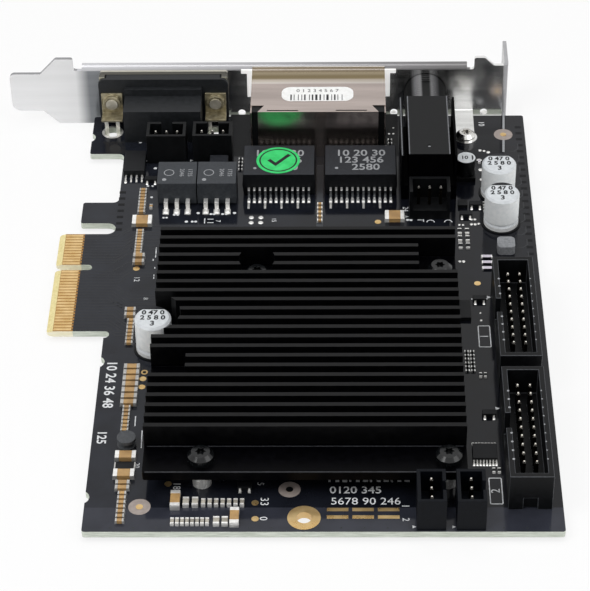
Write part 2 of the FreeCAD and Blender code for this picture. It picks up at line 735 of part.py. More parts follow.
foot_corners = [(FOOT_X - FOOT_HALF, BRACKET_OUT - BEND_R, 0), (FOOT_X - FOOT_HALF, EYELET_Y, 0),
                (FOOT_X + FOOT_HALF, EYELET_Y, 0), (FOOT_X + FOOT_HALF, BRACKET_OUT - BEND_R, 0)]
foot = joined([flat_plate(foot_corners, 0, SHEET_T), rod(EYELET_R, V(FOOT_X, EYELET_Y, 0), SHEET_T)])
foot = foot.cut(rod(FOOT_HOLE_R, V(FOOT_X, EYELET_Y, 0), SHEET_T))
window = block(FOOT_X - FOOT_HALF, FOOT_X + FOOT_HALF, BRACKET_IN, BRACKET_OUT, REST_Z + SHEET_T, BEND_R)

# Openings for the panel connectors


def serial_outline(margin):
    top = SERIAL_D_TOP / 2 + margin
    bottom = SERIAL_D_BOTTOM / 2 + margin
    half = SERIAL_D_H / 2 + margin
    radius = SERIAL_D_R + margin
    return [(SERIAL_X - bottom, SERIAL_Z - half, radius), (SERIAL_X + bottom, SERIAL_Z - half, radius),
            (SERIAL_X + top, SERIAL_Z + half, radius), (SERIAL_X - top, SERIAL_Z + half, radius)]


openings = [upright_plate(serial_outline(SERIAL_CUT_MARGIN), BRACKET_IN, BRACKET_OUT)]
for x in LOCK_SPOTS:
    openings.append(rod(LOCK_SCREW_R + JACK_FIT, V(x, BRACKET_IN, SERIAL_Z), SHEET_T, ALONG_Y))
for x in PORT_CENTRES:
    high = PORT_H + PORT_LATCH_H + 2 * PORT_PANEL_MARGIN
    middle = PORT_Z + (PORT_H - PORT_LATCH_H) / 2
    openings.append(upright_plate(rectangle(x, middle, PORT_W + 2 * PORT_PANEL_MARGIN, high, CORNER_R),
                                  BRACKET_IN, BRACKET_OUT))
openings.append(rod(BUSHING_R + BUSHING_FIT, V(JACK_X, BRACKET_IN, JACK_Z), SHEET_T, ALONG_Y))
for x in LAMP_CENTRES:
    openings.append(rod(LAMP_R, V(x, BRACKET_IN, LAMP_Z), SHEET_T, ALONG_Y))
bracket = plate.cut(Part.makeCompound(openings + [window]))
bracket = joined([bracket, bend(fold_centre, ALONG_X, FOLD_END - FOLD_START, fold_keep), fold_lip,
                  bend(tab_centre, ALONG_Z, BRACKET_BEND_Z - REST_Z, tab_keep), tab,
                  bend(foot_centre, ALONG_X, 2 * FOOT_HALF, foot_keep), foot])
save("slot_bracket", bracket.Solids)



def star_recess(x, y, top, depth):
    points = []
    for i in range(2 * DRIVE_POINTS):
        angle = math.pi * i / DRIVE_POINTS
        radius = DRIVE_ROOT_R if i % 2 else DRIVE_R
        points.append((x + radius * math.cos(angle), y + radius * math.sin(angle), 0))
    return flat_plate(points, top - depth, top)


def screw_head(x, y, radius, seat, height):
    top = seat + height
    head = rod(radius, V(x, y, seat), height)
    rim = [e for e in head.Edges if e.BoundBox.ZMin > seat + height / 2 and e.BoundBox.ZLength < TAIL_FIT]
    return head.makeChamfer(HEAD_EDGE, rim).cut(star_recess(x, y, top, DRIVE_DEPTH))


# Foot screw through the eyelet and the board
foot_screw = joined([screw_head(FOOT_X, EYELET_Y, FOOT_HEAD_R, SHEET_T, FOOT_HEAD_H),
                     rod(SCREW_R, V(FOOT_X, EYELET_Y, REST_Z), SHEET_T - REST_Z)])
save("bracket_screw", foot_screw.Solids)

# Finned heat sink on its base plate
SINK_FLOOR = SINK_Z + SINK_BASE_T
base = flat_plate([(SINK_LEFT, SINK_NEAR, CORNER_R), (SINK_RIGHT, SINK_NEAR, CORNER_R),
                   (SINK_RIGHT, SINK_FAR, CORNER_R), (SINK_LEFT, SINK_FAR, CORNER_R)], SINK_Z, SINK_FLOOR)
fins = []
for i in range(FIN_COUNT):
    y = FIN_FIRST - i * FIN_PITCH
    fins.append(block(SINK_LEFT, SINK_RIGHT, y - FIN_T / 2, y + FIN_T / 2, SINK_FLOOR, SINK_TOP))
fin_height = SINK_TOP - SINK_FLOOR


def fin_pocket(left, right, fin_range):
    near = FIN_FIRST - (fin_range[1] + 0.5) * FIN_PITCH
    far = FIN_FIRST - (fin_range[0] - 0.5) * FIN_PITCH
    return block(left, right, near, far, SINK_FLOOR, SINK_TOP)


pockets = [rod(FAR_POCKET_R, V(SINK_SCREWS[2][0], SINK_SCREWS[2][1], SINK_FLOOR), fin_height),
           fin_pocket(EDGE_POCKET_LEFT, SINK_RIGHT, EDGE_POCKET_FINS),
           fin_pocket(SINK_LEFT, OPEN_POCKET_RIGHT, OPEN_POCKET_FINS)]
niche = rod(CAN_R + NICHE_CLEAR, V(CAN_CENTRES[0][0], CAN_CENTRES[0][1] - NICHE_SHIFT, SINK_Z), SINK_TOP - SINK_Z)
fin_group = Part.makeCompound(fins).cut(Part.makeCompound(pockets))
pedestal = centred(CHIP_CENTRE[0], CHIP_CENTRE[1], PEDESTAL_W, PEDESTAL_W, CHIP_H + PAD_T, SINK_Z)
sink = joined([base, pedestal] + fin_group.Solids).cut(niche)
for x, y in SINK_SCREWS:
    sink = sink.cut(rod(SINK_HOLE_R, V(x, y, SINK_Z), SINK_BASE_T))
save("heat_sink", sink.Solids)

# Heat sink screws and the standoffs they turn into
screws = []
standoffs = []
for x, y in SINK_SCREWS:
    head = screw_head(x, y, SINK_HEAD_R, SINK_FLOOR, SINK_HEAD_H)
    screws.append(joined([head, rod(SCREW_R - JACK_FIT, V(x, y, SCREW_TIP_Z), SINK_FLOOR - SCREW_TIP_Z)]))
    collar = rod(STANDOFF_COLLAR_R, V(x, y, SINK_Z - STANDOFF_COLLAR_H), STANDOFF_COLLAR_H)
    post = joined([rod(STANDOFF_R, V(x, y, 0), SINK_Z), collar])
    standoffs.append(post.cut(rod(STANDOFF_HOLE_R, V(x, y, 0), SINK_Z)))
save("heat_sink_screws", screws)
save("heat_sink_standoffs", standoffs)

# Processor and thermal pad between board and heat sink
save("processor_chip", [centred(CHIP_CENTRE[0], CHIP_CENTRE[1], CHIP_W, CHIP_W, 0, CHIP_H)])
save("thermal_pad", [centred(CHIP_CENTRE[0], CHIP_CENTRE[1], PAD_W, PAD_W, CHIP_H, CHIP_H + PAD_T)])

# Nine way connector: drawn metal shell with folded rim
flange = upright_plate(rectangle(SERIAL_X, SERIAL_Z, SERIAL_FLANGE_W, SERIAL_FLANGE_H, CORNER_R),
                       SHELL_BACK, BRACKET_IN)
hollow = upright_plate(rectangle(SERIAL_X, SERIAL_Z, SERIAL_FLANGE_W - 2 * SERIAL_SHEET,
                                 SERIAL_FLANGE_H - 2 * SERIAL_SHEET, CORNER_R),
                       SHELL_BACK, BRACKET_IN - SERIAL_SHEET)
snout_end = BRACKET_IN + SERIAL_D_OUT
snout = upright_plate(serial_outline(0), BRACKET_IN - SERIAL_SHEET, snout_end)
shell = joined([flange, snout]).cut(hollow)
shell = shell.cut(upright_plate(serial_outline(-SERIAL_SHEET), SHELL_BACK, snout_end))
clinch_top = SERIAL_Z + SERIAL_FLANGE_H / 2
for side in (-1, 1):
    near_x = SERIAL_X + side * (SERIAL_LEDGE_W / 2 + NET_FIT)
    far_x = SERIAL_X + side * SERIAL_FLANGE_W / 2
    clinch = block(min(near_x, far_x), max(near_x, far_x), BODY_BACK + SERIAL_FRONT_T, SHELL_BACK,
                   CLINCH_Z, clinch_top)
    shell = joined([shell, clinch])
for x in LOCK_SPOTS:
    shell = shell.cut(rod(LOCK_SCREW_R + JACK_FIT, V(x, SHELL_BACK, SERIAL_Z), SERIAL_FLANGE_T, ALONG_Y))
save("serial_shell", shell.Solids)

# Moulded body behind the shell, with the contact face in the shell mouth
body = joined([
    upright_plate(rectangle(SERIAL_X, SERIAL_Z, SERIAL_BODY_W, SERIAL_BODY_H, SERIAL_BODY_R),
                  BODY_BACK, BODY_BACK + SERIAL_FRONT_T),
    upright_plate(rectangle(SERIAL_X, SERIAL_Z, SERIAL_LEDGE_W, SERIAL_BODY_H, CORNER_R),
                  BODY_BACK + SERIAL_FRONT_T, SHELL_BACK),
    upright_plate(rectangle(SERIAL_X, SERIAL_Z, SERIAL_FLANGE_W - 2 * SERIAL_SHEET - 2 * NET_FIT,
                            SERIAL_FLANGE_H - 2 * SERIAL_SHEET - 2 * NET_FIT, CORNER_R),
                  SHELL_BACK, BRACKET_IN - SERIAL_SHEET),
    block(SERIAL_X - SERIAL_BLOCK_W / 2, SERIAL_X + SERIAL_BLOCK_W / 2, SERIAL_BLOCK_BACK, BODY_BACK,
          0, SERIAL_BLOCK_H),
    block(SERIAL_X - SERIAL_BLOCK_W / 2, SERIAL_X + SERIAL_BLOCK_W / 2, BODY_BACK - SERIAL_LIP_T, BODY_BACK,
          0, SERIAL_LIP_H),
    upright_plate(serial_outline(-SERIAL_SHEET - JACK_FIT), SHELL_BACK, snout_end - SERIAL_FACE_IN),
])
for x in LOCK_SPOTS:
    body = body.cut(rod(LOCK_SCREW_R + JACK_FIT, V(x, BODY_BACK, SERIAL_Z), BRACKET_IN - BODY_BACK, ALONG_Y))
for row, count in serial_rows:
    for i in range(count):
        x = SERIAL_X + (i - (count - 1) / 2) * SERIAL_PITCH
        start = V(x, snout_end - SERIAL_FACE_IN - SERIAL_HOLE_DEPTH, SERIAL_Z - row * SERIAL_ROW)
        body = body.cut(rod(SERIAL_HOLE_R, start, SERIAL_HOLE_DEPTH, ALONG_Y))
save("serial_body", body.Solids)
save("serial_tails", [centred(x, y, SERIAL_TAIL_W, SERIAL_TAIL_W, REST_Z, 0) for x, y in SERIAL_SPOTS])

# Boardlocks with a rolled ring behind the jackscrew and two legs into the board
locks = []
jacks = []
for x in LOCK_SPOTS:
    lock = [block(x - LOCK_W / 2, x + LOCK_W / 2, LOCK_BACK, BODY_BACK, LOCK_BOTTOM, LOCK_TOP),
            block(x - LOCK_W / 2, x + LOCK_W / 2, LOCK_BACK - LOCK_FOOT, LOCK_BACK, LOCK_BOTTOM,
                  LOCK_BOTTOM + LOCK_T),
            rod(LOCK_RING_R, V(x, LOCK_BACK - LOCK_RING_T, SERIAL_Z), LOCK_RING_T, ALONG_Y)]
    for side in (-1, 1):
        inner = x + side * LOCK_LEG_GAP / 2
        outer = inner + side * LOCK_LEG_W
        lock.append(block(min(inner, outer), max(inner, outer), LOCK_LEG_Y - LOCK_T / 2, LOCK_LEG_Y + LOCK_T / 2,
                          REST_Z, LOCK_BOTTOM))
    solid = joined(lock)
    length = BRACKET_IN - JACK_TAIL
    locks.append(solid.cut(rod(LOCK_SCREW_R + JACK_FIT, V(x, JACK_TAIL - LOCK_T, SERIAL_Z), length, ALONG_Y)))
    jack = joined([hexagon(JACK_AF, x, SERIAL_Z, BRACKET_OUT, BRACKET_OUT + JACK_LONG),
                   rod(LOCK_SCREW_R, V(x, JACK_TAIL, SERIAL_Z), BRACKET_OUT - JACK_TAIL, ALONG_Y)])
    mouth = V(x, BRACKET_OUT + JACK_LONG - JACK_HOLE_DEPTH, SERIAL_Z)
    jacks.append(jack.cut(rod(JACK_HOLE_R, mouth, JACK_HOLE_DEPTH, ALONG_Y)))
save("serial_boardlocks", locks)
save("serial_screwlocks", jacks)

# Network shield: bent sheet over two ports
outer = block(NET_LEFT, NET_RIGHT, NET_BACK, BRACKET_IN, 0, NET_TOP)
inner = block(NET_LEFT + NET_SHEET, NET_RIGHT - NET_SHEET, NET_BACK + NET_SHEET, BRACKET_IN, 0, NET_TOP - NET_SHEET)
lip = block(NET_LEFT, NET_RIGHT, BRACKET_IN - NET_SHEET, BRACKET_IN, NET_TOP - NET_SHEET, NET_TOP + NET_LIP_H)
shield = joined([outer.cut(inner), lip])
for x in NET_SLOT_CENTRES:
    shield = shield.cut(block(x - NET_SLOT_W / 2, x + NET_SLOT_W / 2, NET_BACK + NET_SLOT_IN,
                              NET_BACK + NET_SLOT_IN + NET_SLOT_T, NET_TOP - NET_SHEET, NET_TOP))
for side, edge in ((1, NET_LEFT), (-1, NET_RIGHT)):
    points = [V(edge, NET_BACK, NET_TOP), V(edge, NET_BACK + NET_NOTCH_D, NET_TOP),
              V(edge + side * NET_NOTCH_W, NET_BACK + NET_NOTCH_D, NET_TOP),
              V(edge + side * NET_CORNER_GAP, NET_BACK, NET_TOP), V(edge, NET_BACK, NET_TOP)]
    shield = shield.cut(Part.Face(Part.makePolygon(points)).extrude(V(0, 0, -NET_SHEET)))
    gap = edge + side * NET_CORNER_GAP
    shield = shield.cut(block(min(edge + side * NET_SHEET, gap), max(edge + side * NET_SHEET, gap), NET_BACK,
                              NET_BACK + NET_SHEET, NET_SHEET, NET_TOP))
    wing = edge - side * NET_WING_W
    tip = edge - side * NET_WING_TIP
    shield = joined([shield,
                     block(min(edge, wing), max(edge, wing), BRACKET_IN - NET_WING_T, BRACKET_IN,
                           NET_WING_Z, NET_TOP),
                     block(min(edge, tip), max(edge, tip), BRACKET_IN - NET_WING_T, BRACKET_IN,
                           NET_TOP - NET_WING_TIP_H, NET_TOP)])
for x, y in NET_PEGS:
    shield = joined([shield, centred(x, y, NET_SHEET, NET_PEG_W, REST_Z, NET_SHEET)])
save("network_shield", shield.Solids)

# Network port body with two mouths towards the panel
port_body = block(NET_LEFT + NET_SHEET + NET_FIT, NET_RIGHT - NET_SHEET - NET_FIT, NET_BACK + NET_SHEET + NET_FIT,
                  BRACKET_IN, 0, NET_TOP - NET_SHEET)
net_contacts = []
for x in PORT_CENTRES:
    port_body = port_body.cut(block(x - PORT_W / 2, x + PORT_W / 2, BRACKET_IN - PORT_DEPTH, BRACKET_IN,
                                    PORT_Z, PORT_Z + PORT_H))
    port_body = port_body.cut(block(x - PORT_LATCH_W / 2, x + PORT_LATCH_W / 2, BRACKET_IN - PORT_DEPTH, BRACKET_IN,
                                    PORT_Z - PORT_LATCH_H, PORT_Z))
    for i in range(NET_CONTACTS):
        cx = x + (i - (NET_CONTACTS - 1) / 2) * NET_CONTACT_PITCH
        top = PORT_Z + PORT_H
        end = BRACKET_IN - NET_CONTACT_IN
        start = end - NET_CONTACT_LONG
        side_view = [V(cx - NET_CONTACT_W / 2, end, top), V(cx - NET_CONTACT_W / 2, start, top - NET_CONTACT_DROP),
                     V(cx - NET_CONTACT_W / 2, start, top - NET_CONTACT_DROP - NET_CONTACT_T),
                     V(cx - NET_CONTACT_W / 2, end, top - NET_CONTACT_T), V(cx - NET_CONTACT_W / 2, end, top)]
        net_contacts.append(Part.Face(Part.makePolygon(side_view)).extrude(V(NET_CONTACT_W, 0, 0)))
save("network_body", port_body.Solids)
save("network_contacts", net_contacts)

# Headphone jack housing: tall centre with a groove and a thin wall at each side
housing = block(JACK_X - HOUSING_HALF, JACK_X + HOUSING_HALF, HOUSING_NEAR, HOUSING_FAR, 0, HOUSING_TOP)
for side in (-1, 1):
    wall = JACK_X + side * HOUSING_HALF
    inside = JACK_X + side * (HOUSING_HALF - HOUSING_SIDE_T)
    rib = JACK_X + side * HOUSING_TOP_HALF
    housing = housing.cut(block(min(rib, inside), max(rib, inside), HOUSING_NEAR, HOUSING_FAR,
                                HOUSING_GROOVE_FLOOR, HOUSING_TOP))
    housing = housing.cut(block(min(inside, wall), max(inside, wall), HOUSING_NEAR, HOUSING_FAR,
                                HOUSING_SIDE_TOP, HOUSING_TOP))
dimple = V(JACK_X, HOUSING_NEAR + HOUSING_DIMPLE_IN, HOUSING_TOP - HOUSING_DIMPLE_D)
housing = housing.cut(rod(HOUSING_DIMPLE_R, dimple, HOUSING_DIMPLE_D))
housing = housing.cut(rod(PLUG_R, V(JACK_X, PLUG_END, JACK_Z), HOUSING_FAR - PLUG_END, ALONG_Y))
save("phones_housing", housing.Solids)

# Threaded bushing with a flat on top, open for the plug right into the housing
bushing_end = BRACKET_OUT + BUSHING_OUT
bushing = rod(BUSHING_R, V(JACK_X, HOUSING_FAR, JACK_Z), bushing_end - HOUSING_FAR, ALONG_Y)
bushing = bushing.cut(block(JACK_X - BUSHING_R, JACK_X + BUSHING_R, HOUSING_FAR, BRACKET_IN - BUSHING_FLAT_END,
                            JACK_Z + BUSHING_FLAT_Z, JACK_Z + BUSHING_R))
bushing = bushing.cut(rod(PLUG_R, V(JACK_X, HOUSING_FAR, JACK_Z), bushing_end - HOUSING_FAR, ALONG_Y))
save("phones_bushing", bushing.Solids)
washer = rod(WASHER_R, V(JACK_X, BRACKET_OUT, JACK_Z), WASHER_T, ALONG_Y)
nut = hexagon(NUT_AF, JACK_X, JACK_Z, BRACKET_OUT + WASHER_T, BRACKET_OUT + WASHER_T + NUT_T)
ring = joined([washer, nut])
ring = ring.cut(rod(BUSHING_R, V(JACK_X, BRACKET_OUT, JACK_Z), WASHER_T + NUT_T, ALONG_Y))
save("phones_nut", ring.Solids)
save("phones_tails", [centred(x, y, JACK_TAIL_W, JACK_TAIL_W, REST_Z, 0) for x, y in JACK_TAILS])

# Box headers with a key slot in the wall towards the heat sink
shrouds = []
for centre in BOX_CENTRES:
    left = BOX_X - BOX_W / 2
    near = centre - BOX_LONG / 2
    far = centre + BOX_LONG / 2
    shroud = centred(BOX_X, centre, BOX_W, BOX_LONG, 0, BOX_H)
    shroud = shroud.cut(centred(BOX_X, centre, BOX_W - 2 * BOX_WALL, BOX_LONG - 2 * BOX_WALL, BOX_FLOOR, BOX_H))
    key = block(left, left + BOX_WALL, centre - BOX_KEY_W / 2, centre + BOX_KEY_W / 2, BOX_KEY_Z, BOX_H)
    shroud = shroud.cut(key)
    for wall in (near, far - BOX_LATCH_IN):
        shroud = shroud.cut(block(BOX_X - BOX_LATCH_W / 2, BOX_X + BOX_LATCH_W / 2, wall, wall + BOX_LATCH_IN,
                                  0, BOX_LATCH_H))
    holes = []
    for x, y in BOX_PIN_SPOTS:
        if near < y < far:
            holes.append(centred(x, y, PIN_W + TAIL_FIT, PIN_W + TAIL_FIT, 0, BOX_FLOOR))
    shrouds.append(shroud.cut(Part.makeCompound(holes)))
save("box_header_shrouds", shrouds)
save("box_header_pins", [pin(x, y, BOX_PIN_TOP) for x, y in BOX_PIN_SPOTS])


# Three way headers share one shroud, turned for the sync pair, with the key slot on either long side
def trio_shroud(x, y, turned, key_side, key_w, spots):
    wide = TRIO_W if turned else TRIO_LONG
    deep = TRIO_LONG if turned else TRIO_W
    shroud = centred(x, y, wide, deep, 0, TRIO_H)
    shroud = shroud.cut(centred(x, y, wide - 2 * TRIO_WALL, deep - 2 * TRIO_WALL, TRIO_FLOOR, TRIO_H))
    key_middle = key_side * (TRIO_W - TRIO_WALL) / 2
    if turned:
        key = centred(x + key_middle, y, TRIO_WALL, key_w, TRIO_KEY_Z, TRIO_H)
    else:
        key = centred(x, y + key_middle, key_w, TRIO_WALL, TRIO_KEY_Z, TRIO_H)
    holes = [centred(px, py, PIN_W + TAIL_FIT, PIN_W + TAIL_FIT, 0, TRIO_FLOOR) for px, py in spots
             if abs(px - x) < TRIO_LONG / 2 and abs(py - y) < TRIO_LONG / 2]
    return shroud.cut(Part.makeCompound([key] + holes))


save("audio_header_shrouds", [trio_shroud(x, y, False, side, key_w, AUDIO_SPOTS) for x, y, side, key_w in AUDIO_CENTRES])
save("audio_header_pins", [pin(x, y, TRIO_PIN_TOP) for x, y in AUDIO_SPOTS])
save("sync_header_shrouds", [trio_shroud(x, y, True, 1, TRIO_KEY_W, SYNC_SPOTS) for x, y in SYNC_CENTRES])
save("sync_header_pins", [pin(x, y, TRIO_PIN_TOP) for x, y in SYNC_SPOTS])


# Line transformers: moulded bodies taper a little above and below the parting line
line_bodies = []
line_leads = []
for x, y in LINE_CENTRES:
    drawn_w = LINE_W - 2 * LINE_DRAFT
    drawn_d = LINE_D - 2 * LINE_DRAFT
    line_bodies.append(joined([tapered(x, y, drawn_w, drawn_d, LINE_LIFT, LINE_W, LINE_D, LINE_PARTING_Z),
                               tapered(x, y, LINE_W, LINE_D, LINE_PARTING_Z, drawn_w, drawn_d, LINE_H)]))
    for i in range(LINE_LEADS):
        lx = x + (i - (LINE_LEADS - 1) / 2) * LINE_PITCH
        for side in (-1, 1):
            edge = y + side * (LINE_D / 2)
            line_leads.append(gull_lead(lx, edge, side, LINE_LEAD_W, LINE_LEAD_T, LINE_LEAD_Z,
                                        LINE_LEAD_REACH, LINE_LEAD_TOE))
save("transformer_bodies", line_bodies)
save("transformer_leads", line_leads)

# Isolators with a sloping lower face above the leads
iso_bodies = []
iso_leads = []
for x, y in ISO_CENTRES:
    near = y - ISO_D / 2
    far = y + ISO_D / 2
    side = x - ISO_W / 2
    section = [V(side, near, ISO_LIFT), V(side, far, ISO_LIFT), V(side, far, ISO_CHAMFER_Z),
               V(side, far - ISO_CHAMFER, ISO_H), V(side, near + ISO_CHAMFER, ISO_H),
               V(side, near, ISO_CHAMFER_Z), V(side, near, ISO_LIFT)]
    iso_bodies.append(Part.Face(Part.makePolygon(section)).extrude(V(ISO_W, 0, 0)))
    for i in range(ISO_LEADS):
        lx = x + (i - 1) * PIN_PITCH
        for side in (-1, 1):
            iso_leads.append(gull_lead(lx, y + side * ISO_D / 2, side, ISO_LEAD_W, ISO_LEAD_T, ISO_LEAD_Z,
                                       ISO_LEAD_REACH, ISO_LEAD_TOE))
save("isolator_bodies", iso_bodies)
save("isolator_leads", iso_leads)
save("choke_block", [centred(CHOKE_CENTRE[0], CHOKE_CENTRE[1], CHOKE_W, CHOKE_D, 0, CHOKE_H)])

# Aluminium cans with a crimp groove near the board
cans = []
waist = CAN_R - CAN_GROOVE_D
for x, y in CAN_CENTRES:
    profile = [V(x, y, 0), V(x + CAN_R, y, 0), V(x + CAN_R, y, CAN_GROOVE_Z - CAN_GROOVE_W / 2),
               V(x + waist, y, CAN_GROOVE_Z), V(x + CAN_R, y, CAN_GROOVE_Z + CAN_GROOVE_W / 2),
               V(x + CAN_R, y, CAN_H - CAN_EDGE), V(x + CAN_R - CAN_EDGE, y, CAN_H), V(x, y, CAN_H), V(x, y, 0)]
    cans.append(Part.Face(Part.makePolygon(profile)).revolve(V(x, y, 0), ALONG_Z, FULL_TURN))
save("capacitor_cans", cans)
save("capacitor_leads", [centred(x, y, CAN_LEAD_W, CAN_LEAD_W, REST_Z, 0) for x, y in CAN_SPOTS])
half = MINI_BASE_W / 2
mini_base = flat_plate([(MINI_CAN[0] - half, MINI_CAN[1] - half, 0), (MINI_CAN[0] + half, MINI_CAN[1] - half, 0),
                        (MINI_CAN[0] + half, MINI_CAN[1] + half - MINI_BASE_CUT, 0),
                        (MINI_CAN[0] + half - MINI_BASE_CUT, MINI_CAN[1] + half, 0),
                        (MINI_CAN[0] - half + MINI_BASE_CUT, MINI_CAN[1] + half, 0),
                        (MINI_CAN[0] - half, MINI_CAN[1] + half - MINI_BASE_CUT, 0)], 0, MINI_BASE_H)
mini_can = rod(MINI_CAN_R, V(MINI_CAN[0], MINI_CAN[1], MINI_BASE_H), MINI_CAN_TOP - MINI_BASE_H)
save("mini_can", [mini_can])
save("mini_can_base", [mini_base])

# Coils
drum = joined([rod(DRUM_R, V(DRUM[0], DRUM[1], 0), DRUM_FLANGE),
               rod(DRUM_WAIST_R, V(DRUM[0], DRUM[1], 0), DRUM_H),
               rod(DRUM_R, V(DRUM[0], DRUM[1], DRUM_H - DRUM_FLANGE), DRUM_FLANGE)])
save("drum_coil", [drum])
save("flat_coil", [flat_plate(rectangle(FLAT_COIL[0], FLAT_COIL[1], FLAT_COIL_W, FLAT_COIL_W, FLAT_COIL_R),
                              0, FLAT_COIL_H)])

# Small chips and their leads
chips = []
chip_leads = []
for x, y, wide, deep, height, count, pitch, reach in SMALL_CHIPS:
    chips.append(centred(x, y, wide, deep, CHIP_LIFT, height))
    for i in range(count):
        lx = x + (i - (count - 1) / 2) * pitch
        for side in (-1, 1):
            lead_w = min(CHIP_LEAD_W, pitch / 2)
            chip_leads.append(gull_lead(lx, y + side * deep / 2, side, lead_w, CHIP_LEAD_T, CHIP_LEAD_RISE,
                                        reach, CHIP_LEAD_TOE))
for x, y in TRANSISTORS:
    chips.append(centred(x, y, TRANSISTOR_W, TRANSISTOR_D, CHIP_LIFT, TRANSISTOR_H))
    for shift, side in ((-1, -1), (1, -1), (0, 1)):
        toe = TRANSISTOR_REACH - CHIP_LEAD_T
        chip_leads.append(gull_lead(x + shift * TRANSISTOR_PITCH, y + side * TRANSISTOR_D / 2, side, CHIP_LEAD_W,
                                    CHIP_LEAD_T, CHIP_LEAD_RISE, TRANSISTOR_REACH, toe))
for x, y, wide, deep in LEADLESS:
    chips.append(centred(x, y, wide, deep, 0, LEADLESS_H))
save("small_chips", chips)
save("small_chip_leads", chip_leads)

# Chip capacitors and resistors with soldered ends
cap_bodies = []
cap_ends = []
for x, first, last, count, long_x, long_y, height in CAP_COLUMNS:
    for y in spread(first, last, count):
        solid, ends = chip_part(x, y, long_x, long_y, height, True, long_x * CAP_END_SHARE)
        cap_bodies.append(solid)
        cap_ends += ends
for y, first, last, count, long_y, long_x, height in CAP_ROWS:
    for x in spread(first, last, count):
        solid, ends = chip_part(x, y, long_x, long_y, height, False, long_y * CAP_END_SHARE)
        cap_bodies.append(solid)
        cap_ends += ends
for x, y, long_x, long_y, height in BIG_CAPS:
    solid, ends = chip_part(x, y, long_x, long_y, height, True, long_x * CAP_END_SHARE)
    cap_bodies.append(solid)
    cap_ends += ends
save("ceramic_capacitors", cap_bodies)
resistors = []
resistor_ends = []
for y, first, last, count, long_y, long_x in RESISTOR_ROWS:
    for x in spread(first, last, count):
        solid, ends = chip_part(x, y, long_x, long_y, RESISTOR_H, False, RESISTOR_END)
        resistors.append(solid)
        resistor_ends += ends
for x, first, last, count, long_x, long_y in RESISTOR_COLUMNS:
    for y in spread(first, last, count):
        solid, ends = chip_part(x, y, long_x, long_y, RESISTOR_H, True, RESISTOR_END)
        resistors.append(solid)
        resistor_ends += ends
save("chip_resistors", resistors)
save("soldered_ends", cap_ends + resistor_ends)


# Gold pads, alignment dots and the ring round the ground hole
def round_pad(x, y, radius):
    points = []
    for i in range(PAD_SIDES):
        angle = 2 * math.pi * i / PAD_SIDES
        points.append((x + radius * math.cos(angle), y + radius * math.sin(angle), 0))
    return flat_plate(points, 0, PAD_T_GOLD)


pads = [round_pad(x, y, TEST_PAD_R) for x, y in TEST_PADS]
pads += [round_pad(x, y, ALIGN_DOT_R) for x, y in ALIGN_MARKS]
ground = rod(GROUND_RING_R, V(GROUND_HOLE[0], GROUND_HOLE[1], 0), PAD_T_GOLD)
pads.append(ground.cut(rod(GROUND_HOLE_R, V(GROUND_HOLE[0], GROUND_HOLE[1], 0), PAD_T_GOLD)))
save("gold_pads", pads)

# Paper label on the shield and oval sticker on the left transformer
label = flat_plate(rectangle(LABEL_X, LABEL_Y, LABEL_W, LABEL_D, LABEL_R), NET_TOP, NET_TOP + STICKER_T)
save("port_label", label.Solids)
oval = rod(STICKER_W / 2, V(STICKER_X, STICKER_Y, LINE_H), STICKER_T)
save("test_sticker", [oval])
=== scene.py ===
# %% [markdown]
# A sound card is a black circuit board with gold contacts on one edge and a bent steel bracket on another.
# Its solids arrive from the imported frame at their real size, so nothing here moves or scales them.
# This lesson gives each solid its finish and adds what is too fine for solids:
# print, solder, traces and threads.

# %% Load the frame
import math

import bmesh
import bpy
import numpy as np
from mathutils import Matrix, Vector


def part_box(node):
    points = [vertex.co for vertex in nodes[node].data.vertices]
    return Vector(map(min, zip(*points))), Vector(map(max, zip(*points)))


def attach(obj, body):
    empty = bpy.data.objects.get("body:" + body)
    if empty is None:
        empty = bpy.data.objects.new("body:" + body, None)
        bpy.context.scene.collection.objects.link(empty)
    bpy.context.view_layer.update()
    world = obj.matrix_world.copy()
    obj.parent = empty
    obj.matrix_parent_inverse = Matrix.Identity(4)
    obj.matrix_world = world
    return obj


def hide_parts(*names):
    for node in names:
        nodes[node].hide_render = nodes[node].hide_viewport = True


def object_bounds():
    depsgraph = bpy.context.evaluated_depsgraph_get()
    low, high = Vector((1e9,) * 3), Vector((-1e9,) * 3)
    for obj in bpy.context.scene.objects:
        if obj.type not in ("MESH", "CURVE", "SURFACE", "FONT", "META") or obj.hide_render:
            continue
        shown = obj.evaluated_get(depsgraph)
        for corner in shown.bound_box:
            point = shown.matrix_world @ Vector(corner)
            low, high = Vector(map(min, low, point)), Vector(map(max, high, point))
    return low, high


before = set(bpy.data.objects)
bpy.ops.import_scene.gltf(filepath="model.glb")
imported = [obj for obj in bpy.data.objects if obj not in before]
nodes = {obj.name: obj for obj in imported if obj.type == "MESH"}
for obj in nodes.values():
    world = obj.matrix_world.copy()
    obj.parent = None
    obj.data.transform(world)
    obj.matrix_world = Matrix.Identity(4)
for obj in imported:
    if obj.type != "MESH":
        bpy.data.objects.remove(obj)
cad_box = [list(corner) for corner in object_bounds()]
MM = 0.001
print("solids loaded:", len(nodes))

# %% [markdown]
# Small details belong to the solids that carry them, so their places are read back from the solids.
# One node often holds many equal pieces, such as all the pins of the headers.
# Welding equal corners and following the faces finds each separate piece and its box, in millimetres.


